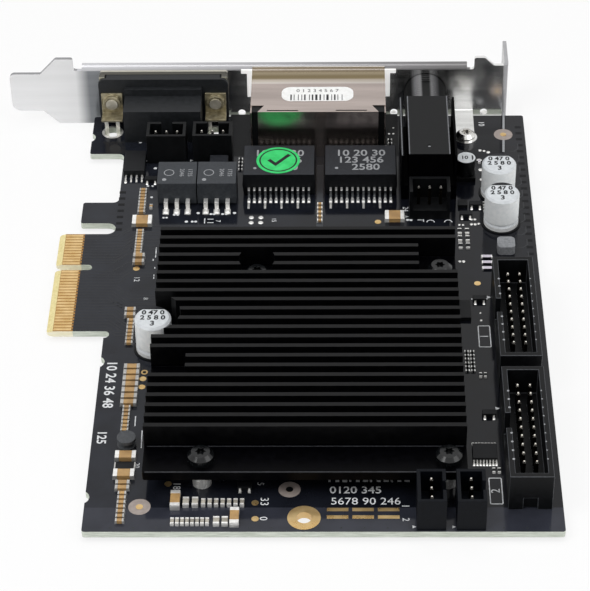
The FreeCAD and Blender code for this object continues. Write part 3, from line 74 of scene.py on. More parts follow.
# %% Read places from the solids
def pieces_in(name):
    mesh = nodes[name].data
    corners = np.empty(len(mesh.vertices) * 3)
    mesh.vertices.foreach_get("co", corners)
    corners = corners.reshape(-1, 3) / MM
    welded = np.unique(np.round(corners, 3), axis=0, return_inverse=True)[1].reshape(-1)
    leader = list(range(welded.max() + 1))

    def follow(i):
        while leader[i] != i:
            leader[i] = leader[leader[i]]
            i = leader[i]
        return i

    for polygon in mesh.polygons:
        first = follow(welded[polygon.vertices[0]])
        for vertex in polygon.vertices:
            leader[follow(welded[vertex])] = first
    groups = {}
    for i, corner in enumerate(corners):
        groups.setdefault(follow(welded[i]), []).append(corner)
    boxes = [(Vector(np.min(group, 0)), Vector(np.max(group, 0))) for group in groups.values()]
    return sorted(boxes, key=lambda box: tuple(round(v, 2) for v in (*box[0], *box[1])))


def node_box(name):
    low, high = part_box(name)
    return low / MM, high / MM


BOARD_LOW, BOARD_HIGH = node_box("circuit_board")
TOP = BOARD_HIGH.z
UNDER = BOARD_LOW.z
print("board", [round(v, 2) for v in BOARD_LOW], [round(v, 2) for v in BOARD_HIGH])

# %% [markdown]
# Print, solder and copper are many tiny shapes of one material, so each kind is gathered into one mesh.
# A tray collects prisms, rings and ribbons, and then places them all as one piece that rides on the card.
# Everything is a closed shape with a real thickness, so it makes a clean mesh.

# %% A tray for small shapes
INK = 0.012


class Tray:
    def __init__(self):
        self.mesh = bmesh.new()

    def loop(self, points, z):
        return [self.mesh.verts.new(Vector((x, y, z)) * MM) for x, y in points]

    def skin(self, low, high):
        for i in range(len(low)):
            self.mesh.faces.new((low[i - 1], low[i], high[i], high[i - 1]))

    def prism(self, points, z0, z1, upper=None):
        low = self.loop(points, z0)
        high = self.loop(upper or points, z1)
        self.skin(low, high)
        self.mesh.faces.new(low)
        self.mesh.faces.new(high)

    def block(self, x0, x1, y0, y1, z0, z1):
        self.prism([(x0, y0), (x1, y0), (x1, y1), (x0, y1)], z0, z1)

    def rod(self, x, y, radius, z0, z1, upper=None, sides=20):
        tip = radius if upper is None else upper
        self.prism(circle(x, y, radius, sides), z0, z1, circle(x, y, tip, sides))

    def ring(self, x, y, inner, outer, z0, z1, sides=40):
        walls = [self.loop(circle(x, y, r, sides), z)
                 for r, z in ((inner, z0), (outer, z0), (outer, z1), (inner, z1))]
        for i in range(len(walls)):
            self.skin(walls[i - 1], walls[i])

    def ribbon(self, path, width, z0, z1):
        left = []
        right = []
        points = [Vector(p) for p in path]
        for i, here in enumerate(points):
            before = (here - points[i - 1]).normalized() if i else (points[1] - here).normalized()
            after = (points[i + 1] - here).normalized() if i + 1 < len(points) else before
            along = (before + after).normalized()
            reach = width / 2 / max(along.dot(before), 0.4)
            across = Vector((-along.y, along.x)) * reach
            left.append(here + across)
            right.append(here - across)
        low = self.loop(left, z0), self.loop(right, z0)
        high = self.loop(left, z1), self.loop(right, z1)
        for i in range(1, len(points)):
            for near, far in ((low[0], low[1]), (high[0], high[1]), (low[0], high[0]), (low[1], high[1])):
                self.mesh.faces.new((near[i - 1], near[i], far[i], far[i - 1]))
        for end in (0, -1):
            self.mesh.faces.new((low[0][end], low[1][end], high[1][end], high[0][end]))

    def numerals(self, text, x, y, z, height, turn=0.0, bold=0.0):
        curve = bpy.data.curves.new("numerals", "FONT")
        curve.body = text
        curve.size = height * MM
        curve.align_x = "CENTER"
        curve.align_y = "CENTER"
        curve.extrude = INK / 2 * MM
        curve.resolution_u = 3
        curve.offset = bold * MM
        holder = bpy.data.objects.new("numerals", curve)
        flat = bpy.data.meshes.new_from_object(holder)
        turned = Matrix.Rotation(math.radians(turn), 4, "Z")
        flat.transform(Matrix.Translation(Vector((x, y, z + INK / 2)) * MM) @ turned)
        self.mesh.from_mesh(flat)
        bpy.data.objects.remove(holder)
        bpy.data.meshes.remove(flat)

    def place(self, name, material, slot):
        bmesh.ops.remove_doubles(self.mesh, verts=self.mesh.verts, dist=0.000001)
        bmesh.ops.recalc_face_normals(self.mesh, faces=self.mesh.faces)
        mesh = bpy.data.meshes.new(name)
        self.mesh.to_mesh(mesh)
        self.mesh.free()
        piece = bpy.data.objects.new(name, mesh)
        bpy.context.scene.collection.objects.link(piece)
        piece.data.materials.append(material)
        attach(piece, "root")
        print(name, "faces:", len(mesh.polygons))
        return piece


def arc(x, y, radius, first, last, count):
    angles = [math.radians(first + (last - first) * i / (count - 1)) for i in range(count)]
    return [(x + radius * math.cos(angle), y + radius * math.sin(angle)) for angle in angles]


def circle(x, y, radius, sides, start=0.0):
    return arc(x, y, radius, start, start + 360, sides + 1)[:-1]


print("tray ready")

# %% [markdown]
# The picture was taken from in front and above, with a long lens, so the board's sides run nearly straight.
# The camera stands where lines of the board and bracket fall on the same pixels as in the picture.
# Its three axes are written out, because a target point and a roll angle would say the same less plainly.

# %% Camera
IMAGE_WIDTH = 590
FOCAL_PIXELS = 2388.27
SENSOR = 36.0
CAMERA_AT = Vector((64.097, -417.649, 337.940)) * MM
CAMERA_FORWARD = Vector((-0.01878093, 0.76967371, -0.63816116))
CAMERA_RIGHT = Vector((0.99982133, 0.01308933, -0.01363772))
CAMERA_UP = CAMERA_RIGHT.cross(CAMERA_FORWARD)
lens = bpy.data.cameras.new("camera")
lens.sensor_fit = "HORIZONTAL"
lens.sensor_width = SENSOR
lens.lens = FOCAL_PIXELS / IMAGE_WIDTH * SENSOR
lens.clip_start = 0.01
camera = bpy.data.objects.new("camera", lens)
axes = Matrix((CAMERA_RIGHT, CAMERA_UP, -CAMERA_FORWARD)).transposed().to_4x4()
camera.matrix_world = Matrix.Translation(CAMERA_AT) @ axes
bpy.context.scene.collection.objects.link(camera)
bpy.context.scene.camera = camera
print("lens", round(lens.lens, 1), "mm")

# %% [markdown]
# A product picture on white has broad soft light and no dark corners for metal to reflect.
# The world and floor show plain white to the camera and in reflections, while softer light reaches the card.
# The floor keeps a share of ordinary shading, so the card still throws a faint shadow on it.

# %% White room
bpy.context.scene.view_settings.view_transform = "Standard"
AMBIENT = 0.42
FLOOR_GAP = 0.03
FLOOR_REACH = 3.0
FLOOR_WHITE = 0.82
FLOOR_PAINT = (0.9, 0.9, 0.9, 1)


def combined(tree, operation, a, b):
    node = tree.nodes.new("ShaderNodeMath")
    node.operation = operation
    tree.links.new(a, node.inputs[0])
    tree.links.new(b, node.inputs[1])
    return node.outputs[0]


def against(tree, value, operation, limit):
    node = tree.nodes.new("ShaderNodeMath")
    node.operation = operation
    node.inputs[1].default_value = limit
    tree.links.new(value, node.inputs[0])
    return node.outputs[0]


def seen_directly(tree):
    path = tree.nodes.new("ShaderNodeLightPath")
    total = path.outputs["Is Camera Ray"]
    for ray in ("Is Glossy Ray", "Is Transmission Ray"):
        total = combined(tree, "MAXIMUM", total, path.outputs[ray])
    return total


def studio_world():
    world = bpy.data.worlds.new("studio")
    world.use_nodes = True
    tree = world.node_tree
    tree.nodes.clear()
    shown = tree.nodes.new("ShaderNodeBackground")
    shown.inputs["Color"].default_value = (1, 1, 1, 1)
    soft = tree.nodes.new("ShaderNodeBackground")
    soft.inputs["Color"].default_value = (1, 1, 1, 1)
    soft.inputs["Strength"].default_value = AMBIENT
    mix = tree.nodes.new("ShaderNodeMixShader")
    tree.links.new(seen_directly(tree), mix.inputs[0])
    tree.links.new(soft.outputs[0], mix.inputs[1])
    tree.links.new(shown.outputs[0], mix.inputs[2])
    out = tree.nodes.new("ShaderNodeOutputWorld")
    tree.links.new(mix.outputs[0], out.inputs["Surface"])
    bpy.context.scene.world = world


def studio_floor():
    sheet = bmesh.new()
    level = cad_box[0][2] - FLOOR_GAP * MM
    corners = [sheet.verts.new((x * FLOOR_REACH, y * FLOOR_REACH, level))
               for x, y in ((-1, -1), (1, -1), (1, 1), (-1, 1))]
    sheet.faces.new(corners)
    mesh = bpy.data.meshes.new("floor")
    sheet.to_mesh(mesh)
    sheet.free()
    material = bpy.data.materials.new("white floor")
    material.use_nodes = True
    tree = material.node_tree
    tree.nodes.clear()
    paint = tree.nodes.new("ShaderNodeBsdfDiffuse")
    paint.inputs["Color"].default_value = FLOOR_PAINT
    glow = tree.nodes.new("ShaderNodeEmission")
    share = against(tree, seen_directly(tree), "MULTIPLY", FLOOR_WHITE)
    mix = tree.nodes.new("ShaderNodeMixShader")
    tree.links.new(share, mix.inputs[0])
    tree.links.new(paint.outputs[0], mix.inputs[1])
    tree.links.new(glow.outputs[0], mix.inputs[2])
    out = tree.nodes.new("ShaderNodeOutputMaterial")
    tree.links.new(mix.outputs[0], out.inputs["Surface"])
    mesh.materials.append(material)
    floor = bpy.data.objects.new("floor", mesh)
    bpy.context.scene.collection.objects.link(floor)


studio_world()
studio_floor()
print("floor", FLOOR_GAP, "mm below the card")

# %% [markdown]
# Three square softboxes give the broad shine of a product picture: a key at the left, a fill and a top lamp.
# Area lamps suit this better than points or a sun, because their edges soften the shadows between the parts.
# Their power stays low enough that pale metal keeps its tint instead of clipping to white.


# %% Lamps
def softbox(name, at, target, side, power):
    lamp = bpy.data.lights.new(name, "AREA")
    lamp.shape = "SQUARE"
    lamp.size = side
    lamp.energy = power
    holder = bpy.data.objects.new(name, lamp)
    holder.location = at
    holder.rotation_euler = (Vector(target) - Vector(at)).to_track_quat("-Z", "Y").to_euler()
    bpy.context.scene.collection.objects.link(holder)


CARD_MIDDLE = (0.055, -0.01, 0.0)
softbox("key light", (-0.32, -0.28, 0.6), CARD_MIDDLE, 0.35, 2.0)
softbox("fill light", (0.5, -0.2, 0.45), CARD_MIDDLE, 0.4, 0.9)
softbox("top light", (0.05, 0.08, 0.8), CARD_MIDDLE, 0.45, 1.6)
print("three lamps aimed at", CARD_MIDDLE)

# %% [markdown]
# No real surface is one flat colour: moulded plastic is grained, rolled metal streaked and plating mottled.
# One recipe serves most finishes: a noise field tints the colour and the gloss, and may follow a grain.
# A finer field raises tiny bumps, and numbers that never vary are set on the shader itself.

# %% Finish recipe
TINT_STOPS = (0.35, 0.65)
FIELD_RANGE = (0.25, 0.75)
FINE_GRAIN = 0.12
FINE_DETAIL = 2.0
GLOSS_SPREAD = 0.07


def tone(code):
    parts = [int(code[i:i + 2], 16) / 255 for i in (1, 3, 5)]
    linear = [c / 12.92 if c <= 0.04045 else ((c + 0.055) / 1.055) ** 2.4 for c in parts]
    return (*linear, 1.0)


def blank(name, metallic=0.0, specular=0.5):
    material = bpy.data.materials.new(name)
    material.use_nodes = True
    shader = material.node_tree.nodes["Principled BSDF"]
    shader.inputs["Metallic"].default_value = metallic
    shader.inputs["Specular IOR Level"].default_value = specular
    return material, material.node_tree, shader


def noise_field(tree, size, grain=(1, 1, 1), detail=4.0):
    coords = tree.nodes.new("ShaderNodeTexCoord")
    stretch = tree.nodes.new("ShaderNodeMapping")
    stretch.inputs["Scale"].default_value = [g / (size * MM) for g in grain]
    noise = tree.nodes.new("ShaderNodeTexNoise")
    noise.inputs["Scale"].default_value = 1.0
    noise.inputs["Detail"].default_value = detail
    tree.links.new(coords.outputs["Object"], stretch.inputs["Vector"])
    tree.links.new(stretch.outputs["Vector"], noise.inputs["Vector"])
    return noise.outputs["Fac"]


def tints(tree, field, dark, light):
    ramp = tree.nodes.new("ShaderNodeValToRGB")
    for stop, at, code in zip(ramp.color_ramp.elements, TINT_STOPS, (dark, light)):
        stop.position = at
        stop.color = tone(code)
    tree.links.new(field, ramp.inputs["Fac"])
    return ramp.outputs["Color"]


def ranged(tree, value, low, high, to_low=0.0, to_high=1.0):
    span = tree.nodes.new("ShaderNodeMapRange")
    span.inputs["From Min"].default_value = low
    span.inputs["From Max"].default_value = high
    span.inputs["To Min"].default_value = to_low
    span.inputs["To Max"].default_value = to_high
    tree.links.new(value, span.inputs["Value"])
    return span.outputs["Result"]


def spread_about(tree, field, middle, spread):
    return ranged(tree, field, *FIELD_RANGE, middle - spread, middle + spread)


def add_bump(tree, shader, field, strength, depth=0.03):
    bump = tree.nodes.new("ShaderNodeBump")
    bump.inputs["Strength"].default_value = strength
    bump.inputs["Distance"].default_value = depth * MM
    tree.links.new(field, bump.inputs["Height"])
    tree.links.new(bump.outputs["Normal"], shader.inputs["Normal"])


def grained(name, dark, light, rough, size, metallic=0.0, specular=0.5, bump=0.2, fine=FINE_GRAIN):
    material, tree, shader = blank(name, metallic, specular)
    field = noise_field(tree, size)
    tree.links.new(tints(tree, field, dark, light), shader.inputs["Base Color"])
    tree.links.new(spread_about(tree, field, rough, GLOSS_SPREAD), shader.inputs["Roughness"])
    add_bump(tree, shader, noise_field(tree, fine, detail=FINE_DETAIL), bump)
    return material


print("grained recipe ready")

# %% [markdown]
# The board is glass cloth in resin under a black mask, and the bare cloth shows on every cut edge.
# The mask stops short of the contact tongue, where the pale resin shows between and beyond the contacts.
# One material can tell these apart by which way a face points and where on the board it lies, and it paints
# the mask lighter on the left as painted light.

# %% Board finish
TONGUE_MASK_X = 5.75
TONGUE_NEAR = -22.6
CONTACT_START = 1.4
TONGUE_FAR = 12.6
PLY = 0.2
PLY_GRAIN = (0.05, 0.05, 1)
PLY_DETAIL = 3.0
CLOUD = 6.0
MOTTLE = 0.5
WEAVE = 0.45
WEAVE_GRAIN = (1, 1, 0.1)
WEAVE_BUMP = 0.05
WEAVE_DEPTH = 0.01
MASK_PAINTED_LIGHT_FADE = (15.0, 95.0)
NEAR_STRIP = -76.6
FLAT = 0.6
CLOTH_ROUGH = 0.62
MASK_ROUGH = 0.1


def both(tree, a, b):
    return combined(tree, "MULTIPLY", a, b)


def past(tree, value, limit):
    return against(tree, value, "GREATER_THAN", limit * MM)


def short_of(tree, value, limit):
    return against(tree, value, "LESS_THAN", limit * MM)


def between(tree, value, low, high):
    return both(tree, past(tree, value, low), short_of(tree, value, high))


def outside(tree, mask):
    return against(tree, mask, "LESS_THAN", 0.5)


def position(tree):
    coords = tree.nodes.new("ShaderNodeTexCoord")
    split = tree.nodes.new("ShaderNodeSeparateXYZ")
    tree.links.new(coords.outputs["Object"], split.inputs[0])
    return split.outputs


def upward(tree, normal="True Normal"):
    geometry = tree.nodes.new("ShaderNodeNewGeometry")
    split = tree.nodes.new("ShaderNodeSeparateXYZ")
    tree.links.new(geometry.outputs[normal], split.inputs[0])
    return split.outputs["Z"]


def blended(tree, share, a, b):
    node = tree.nodes.new("ShaderNodeMix")
    node.data_type = "RGBA"
    tree.links.new(share, node.inputs[0])
    tree.links.new(a, node.inputs[6])
    tree.links.new(b, node.inputs[7])
    return node.outputs[2]


def board_finish():
    material, tree, shader = blank("board laminate and mask", 0.0, 0.28)
    place = position(tree)
    upright = upward(tree, "Normal")
    flat = against(tree, both(tree, upright, upright), "GREATER_THAN", FLAT ** 2)
    tongue = both(tree, short_of(tree, place["X"], TONGUE_MASK_X),
                  between(tree, place["Y"], TONGUE_NEAR, TONGUE_FAR))
    cloudy = noise_field(tree, CLOUD)
    # Painted light: the mask is lighter at the left and fades to its own darker tone on the right.
    left = tints(tree, cloudy, "#181a21", "#20232b")
    right = tints(tree, cloudy, "#0c0d12", "#11131a")
    along = ranged(tree, place["X"], MASK_PAINTED_LIGHT_FADE[0] * MM, MASK_PAINTED_LIGHT_FADE[1] * MM)
    mask = blended(tree, along, left, right)
    strip = short_of(tree, place["Y"], NEAR_STRIP)
    mask = blended(tree, strip, mask, tints(tree, cloudy, "#2a2c34", "#33353e"))
    plies = noise_field(tree, PLY, PLY_GRAIN, PLY_DETAIL)
    edge = tints(tree, plies, "#c3cabd", "#e2e8dd")
    mottle = noise_field(tree, MOTTLE)
    lip = tints(tree, mottle, "#dccd92", "#ecdfa8")
    gaps = tints(tree, mottle, "#966c36", "#a67b42")
    cut = tints(tree, plies, "#fbf3cf", "#fffbe6")
    resin = blended(tree, past(tree, place["X"], CONTACT_START), lip, gaps)
    bare = blended(tree, tongue, edge, blended(tree, flat, cut, resin))
    covered = both(tree, flat, outside(tree, tongue))
    tree.links.new(blended(tree, covered, bare, mask), shader.inputs["Base Color"])
    tree.links.new(ranged(tree, covered, 0.0, 1.0, CLOTH_ROUGH, MASK_ROUGH), shader.inputs["Roughness"])
    cloth = noise_field(tree, WEAVE, WEAVE_GRAIN, FINE_DETAIL)
    add_bump(tree, shader, cloth, WEAVE_BUMP, WEAVE_DEPTH)
    return material


print("mask reaches the tongue at", TONGUE_MASK_X, "mm")

# %% [markdown]
# Rolled steel keeps long streaks from the mill, and a fold or an emboss turns it to another part of the room.
# So the port shield and the nine way shell carry painted reflections, as bands of tint along their depth.
# Each band is a stop of a colour ramp driven by position, with the streaks multiplied over it.
# The bushing's glossy thread takes bands of painted highlight too, across its width.

# %% Banded finish
SHIELD_REFLECTION_BANDS = [(41.9, "#b8aca6"), (53.3, "#b4a8a2"), (53.7, "#cfc7c0"), (55.2, "#b9ae9e"), (55.7, "#8a7b5e"),
                (56.6, "#857658"), (57.6, "#a2947a"), (58.9, "#b0a38c"), (59.3, "#d5cec6"), (59.7, "#e2ddd8")]
WING_X = (43.1, 75.0)
WING_PAINTED_GLOW = 0.26
STREAK = 2.0
STREAK_GRAIN = (0.05, 0.6, 1)
SCRATCH = 0.2
SCRATCH_GRAIN = (0.05, 1, 1)
MILL_SPREAD = 0.04
MILL_BUMP = 0.05


def multiplied(tree, a, b):
    shade = tree.nodes.new("ShaderNodeMix")
    shade.data_type = "RGBA"
    shade.blend_type = "MULTIPLY"
    shade.inputs[0].default_value = 1.0
    tree.links.new(a, shade.inputs[6])
    tree.links.new(b, shade.inputs[7])
    return shade.outputs[2]


def mill_streaks(tree, shader, rough):
    streaks = noise_field(tree, STREAK, STREAK_GRAIN)
    tree.links.new(spread_about(tree, streaks, rough, MILL_SPREAD), shader.inputs["Roughness"])
    add_bump(tree, shader, noise_field(tree, SCRATCH, SCRATCH_GRAIN, FINE_DETAIL), MILL_BUMP)
    return streaks


def painted_bands(name, bands, axis, rough, metallic=1.0, specular=0.5, wings=None):
    material, tree, shader = blank(name, metallic, specular)
    place = position(tree)
    streaks = mill_streaks(tree, shader, rough)
    first, last = bands[0][0], bands[-1][0]
    # Painted reflections: the ramp sets a band of tint at each listed place.
    ramp = tree.nodes.new("ShaderNodeValToRGB")
    stops = ramp.color_ramp.elements
    stops[0].color = tone(bands[0][1])
    stops[1].color = tone(bands[-1][1])
    for at, code in bands[1:-1]:
        stops.new((at - first) / (last - first)).color = tone(code)
    tree.links.new(ranged(tree, place[axis], first * MM, last * MM), ramp.inputs["Fac"])
    colour = multiplied(tree, ramp.outputs["Color"], tints(tree, streaks, "#e9e9e9", "#ffffff"))
    # Painted light: the side wings outside WING_X are near white, not metallic, and glow faintly.
    if wings:
        inside = between(tree, place["X"], *wings)
        colour = blended(tree, inside, tints(tree, streaks, "#f0eeeb", "#faf9f7"), colour)
        tree.links.new(inside, shader.inputs["Metallic"])
        shader.inputs["Emission Color"].default_value = (1, 1, 1, 1)
        tree.links.new(ranged(tree, inside, 0.0, 1.0, WING_PAINTED_GLOW, 0.0), shader.inputs["Emission Strength"])
    tree.links.new(colour, shader.inputs["Base Color"])
    return material


print("bands on the shield:", len(SHIELD_REFLECTION_BANDS))

# %% [markdown]
# The bracket is one folded sheet, and most of the tints mixed over it by place are painted light and shade.
# Its open end faces the white room and stays pale, then darkens in painted shade towards the ports, behind
# which it mirrors the dark board.
# Its folded lip is painted from light at the left to shade at the right, and faces that do not point up take
# a darker grey.

# %% Bracket finish
OPEN_END = 0.3
SHADE_END = 3.4
MIRROR_FROM = 7.0
LIP_Z = 12.6
LIP_X = (0.8, 95.5)
LIP_LIGHT_TO_SHADE = (2.0, 90.0)
TAB_X = 103.6
BRACKET_ROUGH = 0.22
DULL_PLATING = 0.3


def bracket_finish():
    material, tree, shader = blank("plated bracket steel")
    place = position(tree)
    upright = upward(tree)
    streaks = mill_streaks(tree, shader, BRACKET_ROUGH)
    east = place["X"]
    matt = tints(tree, streaks, "#e9e9ea", "#f0f0f1")
    edge = tints(tree, streaks, "#8b8b8d", "#9a9a9c")
    # Painted shade: the open end darkens to this grey towards the ports.
    shade = tints(tree, streaks, "#7d8084", "#888b8f")
    mirror = tints(tree, streaks, "#dfdfde", "#f2f2f1")
    plain = blended(tree, against(tree, upright, "GREATER_THAN", FLAT), matt, edge)
    plain = blended(tree, ranged(tree, east, OPEN_END * MM, SHADE_END * MM), plain, shade)
    behind = past(tree, east, MIRROR_FROM)
    # The folded lip is painted from light at the left to shade at the right.
    lip_painted_light = tints(tree, streaks, "#c2c2c6", "#cdcdd0")
    lip_painted_shade = tints(tree, streaks, "#737172", "#7f7d7e")
    lip = blended(tree, ranged(tree, east, LIP_LIGHT_TO_SHADE[0] * MM, LIP_LIGHT_TO_SHADE[1] * MM), lip_painted_light, lip_painted_shade)
    folded = both(tree, past(tree, place["Z"], LIP_Z), between(tree, east, *LIP_X))
    tab = past(tree, east, TAB_X)
    colour = blended(tree, folded, blended(tree, behind, plain, mirror), lip)
    colour = blended(tree, tab, colour, tints(tree, streaks, "#a4a4a6", "#b0b0b2"))
    tree.links.new(colour, shader.inputs["Base Color"])
    bright = both(tree, behind, outside(tree, tab))
    polished = both(tree, bright, outside(tree, folded))
    tree.links.new(ranged(tree, polished, 0.0, 1.0, DULL_PLATING), shader.inputs["Metallic"])
    return material


print("lip from", LIP_Z, "mm up")

# %% [markdown]
# Several parts take painted light and shade by place or direction, such as pale pin tips over shaded shafts.
# Can walls are painted brighter than their lids, and the lowest chip capacitors have a greyer glaze.
# So a second recipe takes two pairs of tones and chooses between them by place or direction.

# %% Two tone finishes
LOCK_FOOT = 2.95
JACK_LID = 12.8
FIN_FOOT = 7.0
LOW_CHIP = 1.05
LEFT_CHIPS = 28.0
FRONT_ROWS = -74.4
UPWARD = 0.3
SMOOTH_SPREAD = 0.05
SMOOTH_BUMP = 0.05


def two_tone(name, upper, lower, rough, size, metallic, specular, mask, dull=None):
    material, tree, shader = blank(name, metallic, specular)
    field = noise_field(tree, size)
    above = tints(tree, field, *upper)
    below = tints(tree, field, *lower)
    share = mask(tree, position(tree))
    tree.links.new(blended(tree, share, below, above), shader.inputs["Base Color"])
    if dull is not None:
        tree.links.new(ranged(tree, share, 0.0, 1.0, dull, specular), shader.inputs["Specular IOR Level"])
    tree.links.new(spread_about(tree, field, rough, SMOOTH_SPREAD), shader.inputs["Roughness"])
    add_bump(tree, shader, noise_field(tree, FINE_GRAIN, detail=FINE_DETAIL), SMOOTH_BUMP)
    return material


def faces_up(tree, place):
    return against(tree, upward(tree), "GREATER_THAN", UPWARD)


def near_board(tree, place):
    return short_of(tree, place["Z"], LOCK_FOOT)


def jack_top(tree, place):
    return past(tree, place["Z"], JACK_LID)


def on_fins(tree, place):
    return past(tree, place["Z"], FIN_FOOT)


def left_low(tree, place):
    low = short_of(tree, place["Z"], LOW_CHIP)
    return both(tree, low, short_of(tree, place["X"], LEFT_CHIPS))


def big_or_left(tree, place):
    tall = past(tree, place["Z"], LOW_CHIP)
    behind = past(tree, place["Y"], FRONT_ROWS)
    left = short_of(tree, place["X"], LEFT_CHIPS)
    return combined(tree, "MAXIMUM", combined(tree, "MAXIMUM", tall, behind), left)


print("two tone recipe ready")

# %% [markdown]
# The rest of the card is a short list of finishes that repeat on many pieces.
# Bright metals differ mostly in tint and gloss: gold on contacts, tin on leads, rolled steel on sheet parts.
# The heat sink is dyed black, and thin painted highlights run along its edges.

# %% Finishes by name
shell_low, shell_high = node_box("serial_shell")
# Painted reflections: pale lines at both ends of the shell's top, dark between them.
SHELL_REFLECTION_BANDS = [(shell_low.y, "#b4b09e"), (shell_low.y + 0.3, "#5a5850"), (58.9, "#45433b"), (59.4, "#d6d2c4"),
               (shell_high.y, "#e4e0d4")]
finishes = {
    "board": board_finish(),
    "trace": grained("masked copper", "#1c1e22", "#24262b", 0.12, 5.0, specular=0.36, bump=0.03),
    "pour": grained("masked copper plane", "#303338", "#3a3d42", 0.2, 7.0, specular=0.3, bump=0.04),
    "pit": grained("sunk mask", "#090a0c", "#101114", 0.4, 1.0, specular=0.16, bump=0.1),
    "gold": grained("gold plating", "#d0ad72", "#e2c48e", 0.3, 3.0, metallic=0.8, bump=0.05),
    # Painted light and shade: tips that face up are pale, the shafts below near black.
    "gold_pin_painted_shade": two_tone("pin plating", ("#e9e4da", "#f6f2ea"),
                         ("#16140f", "#241f17"), 0.25, 2.0, 0.9, 0.5, faces_up),
    "steel": bracket_finish(),
    "shield": painted_bands("rolled shield steel", SHIELD_REFLECTION_BANDS, 1, 0.24, wings=WING_X),
    "shell": painted_bands("tinned shell", SHELL_REFLECTION_BANDS, 1, 0.2, 0.5),
    # Painted light and shade on one tinned metal: legs near the board are pale, the plate above dark olive.
    "lock": two_tone("tinned boardlock", ("#f4f1e6", "#fffdf4"),
                     ("#8f866c", "#b5ac90"), 0.2, 1.0, 0.5, 0.5, near_board),
    # Painted shade: the housing's walls below its lid are darker and duller than the lid.
    "jack": two_tone("jack nylon", ("#060708", "#0c0d0f"),
                     ("#020203", "#040405"), 0.45, 0.9, 0.0, 0.16, jack_top, 0.02),
    "brass": grained("tinned brass", "#cfc8b4", "#e8e2d2", 0.2, 1.5, metallic=0.6, bump=0.06),
    "nickel": grained("bright nickel", "#c8c6c2", "#e0dfdc", 0.16, 1.5, metallic=1.0, bump=0.06),
    "standoff": grained("satin nickel", "#e6e6e4", "#fafaf8", 0.25, 1.0, metallic=0.35, bump=0.04),
    # Painted shade and light: low ends at the left are greyer, the other ends brighter.
    "cap_end": two_tone("tinned end", ("#aaa9a6", "#c2c1be"),
                        ("#e8e7e4", "#faf9f6"), 0.36, 0.7, 0.35, 0.5, left_low),
    "tin": grained("dull tin", "#dcdbd8", "#f4f3f0", 0.34, 0.7, metallic=0.7, bump=0.12),
    # Painted light and shade: the tops of the leads are pale, their sides dark grey.
    "lead": two_tone("formed lead", ("#efeeeb", "#fbfaf7"),
                     ("#4a4d50", "#6d7073"), 0.3, 0.7, 0.8, 0.5, faces_up),
    "well": grained("thin mask and painted shade", "#07080b", "#0d0e12", 0.2, 1.0, specular=0.14, bump=0.05),
    # Painted shade: the plate below the fins is a shade darker and duller than the fins.
    "sink": two_tone("black dyed aluminium", ("#020203", "#050506"),
                     ("#010102", "#020204"), 0.34, 1.2, 0.0, 0.17, on_fins, 0.05),
    # Painted highlight for the heat sink's edges.
    "sink_edge_highlight": grained("painted sink edge highlight", "#2a2b2e", "#38393d", 0.4, 0.8, specular=0.3, bump=0.03),
    "black_screw": grained("black oxide", "#050607", "#0d0f11", 0.16, 0.8, specular=0.4, bump=0.06),
    "nylon": grained("black nylon", "#060708", "#0c0d0f", 0.45, 0.9, specular=0.16, bump=0.15),
    "cool_nylon": grained("cool black nylon", "#04060b", "#090c12", 0.45, 0.9, specular=0.1, bump=0.15),
    # Painted highlights for edges of black nylon parts.
    "nylon_edge_highlight": grained("painted nylon edge highlight", "#3c3e42", "#4c4f53", 0.4, 0.6, specular=0.3, bump=0.05),
    "jack_edge_highlight": grained("painted housing edge highlight", "#5c5e62", "#6e7074", 0.4, 0.6, specular=0.3, bump=0.05),
    "satin_nylon": grained("satin black nylon", "#16181a", "#1e2023", 0.5, 0.9, specular=0.3, bump=0.12),
    # Painted light: tops that face up are lighter than the sides, whose sheen is dulled.
    "epoxy": two_tone("moulded epoxy", ("#1f2125", "#282a2f"),
                      ("#0e0f11", "#151619"), 0.5, 0.6, 0.0, 0.22, faces_up, 0.12),
    "grey_epoxy": grained("grey moulded epoxy", "#313438", "#3b3e42", 0.55, 0.6, 0.0, 0.26, 0.25, 0.08),
    "dark_epoxy": grained("dark moulded epoxy", "#0f1012", "#17181b", 0.5, 0.6, 0.0, 0.2, 0.2, 0.08),
    # Painted light: the can wall is brighter than the lid that faces up.
    "can": two_tone("aluminium with painted light", ("#cdd1d4", "#d9dde0"),
                    ("#eef2f3", "#fafcfc"), 0.45, 1.0, 0.0, 0.35, faces_up),
    "mini_can": two_tone("sleeved can", ("#d6dadd", "#e4e8ea"),
                         ("#08090a", "#111214"), 0.3, 1.0, 0.0, 0.4, faces_up),
    "ferrite": grained("sintered ferrite", "#45474a", "#545659", 0.6, 0.35, specular=0.25, bump=0.3),
    "pale_ferrite": grained("ground ferrite", "#75777a", "#8d8f92", 0.55, 0.5, specular=0.3, bump=0.3),
    "ceramic": two_tone("fired ceramic", ("#a17f52", "#c39d66"),
                        ("#8f8a80", "#b9b4a8"), 0.42, 3.0, 0.0, 0.5, big_or_left),
    "paper": grained("coated paper", "#efefed", "#fafaf9", 0.5, 1.0, bump=0.1),
    "green": grained("green vinyl", "#33c468", "#45d97c", 0.4, 2.0, specular=0.2, bump=0.08),
    "ink": grained("black ink", "#17181a", "#25262a", 0.5, 0.5, specular=0.2, bump=0.05),
    "silk": grained("white legend ink", "#d4d6d8", "#eceef0", 0.55, 0.5, bump=0.1),
    "grey_print_and_glints": grained("grey ink and painted glints", "#8b8d90", "#a2a4a7", 0.55, 0.4, bump=0.1),
    "bare_grey": grained("bare laminate", "#958a84", "#a39892", 0.6, 0.9, bump=0.1),
    "pale_top": grained("pale resistor glaze", "#c4bdca", "#d6d0da", 0.4, 0.8, bump=0.06),
    "skirt": grained("bright can skirt", "#e4e6e6", "#f1f2f2", 0.4, 0.9, bump=0.03),
    "rubber": grained("thermal pad", "#8a8f96", "#9aa0a6", 0.8, 1.0, bump=0.2),
}
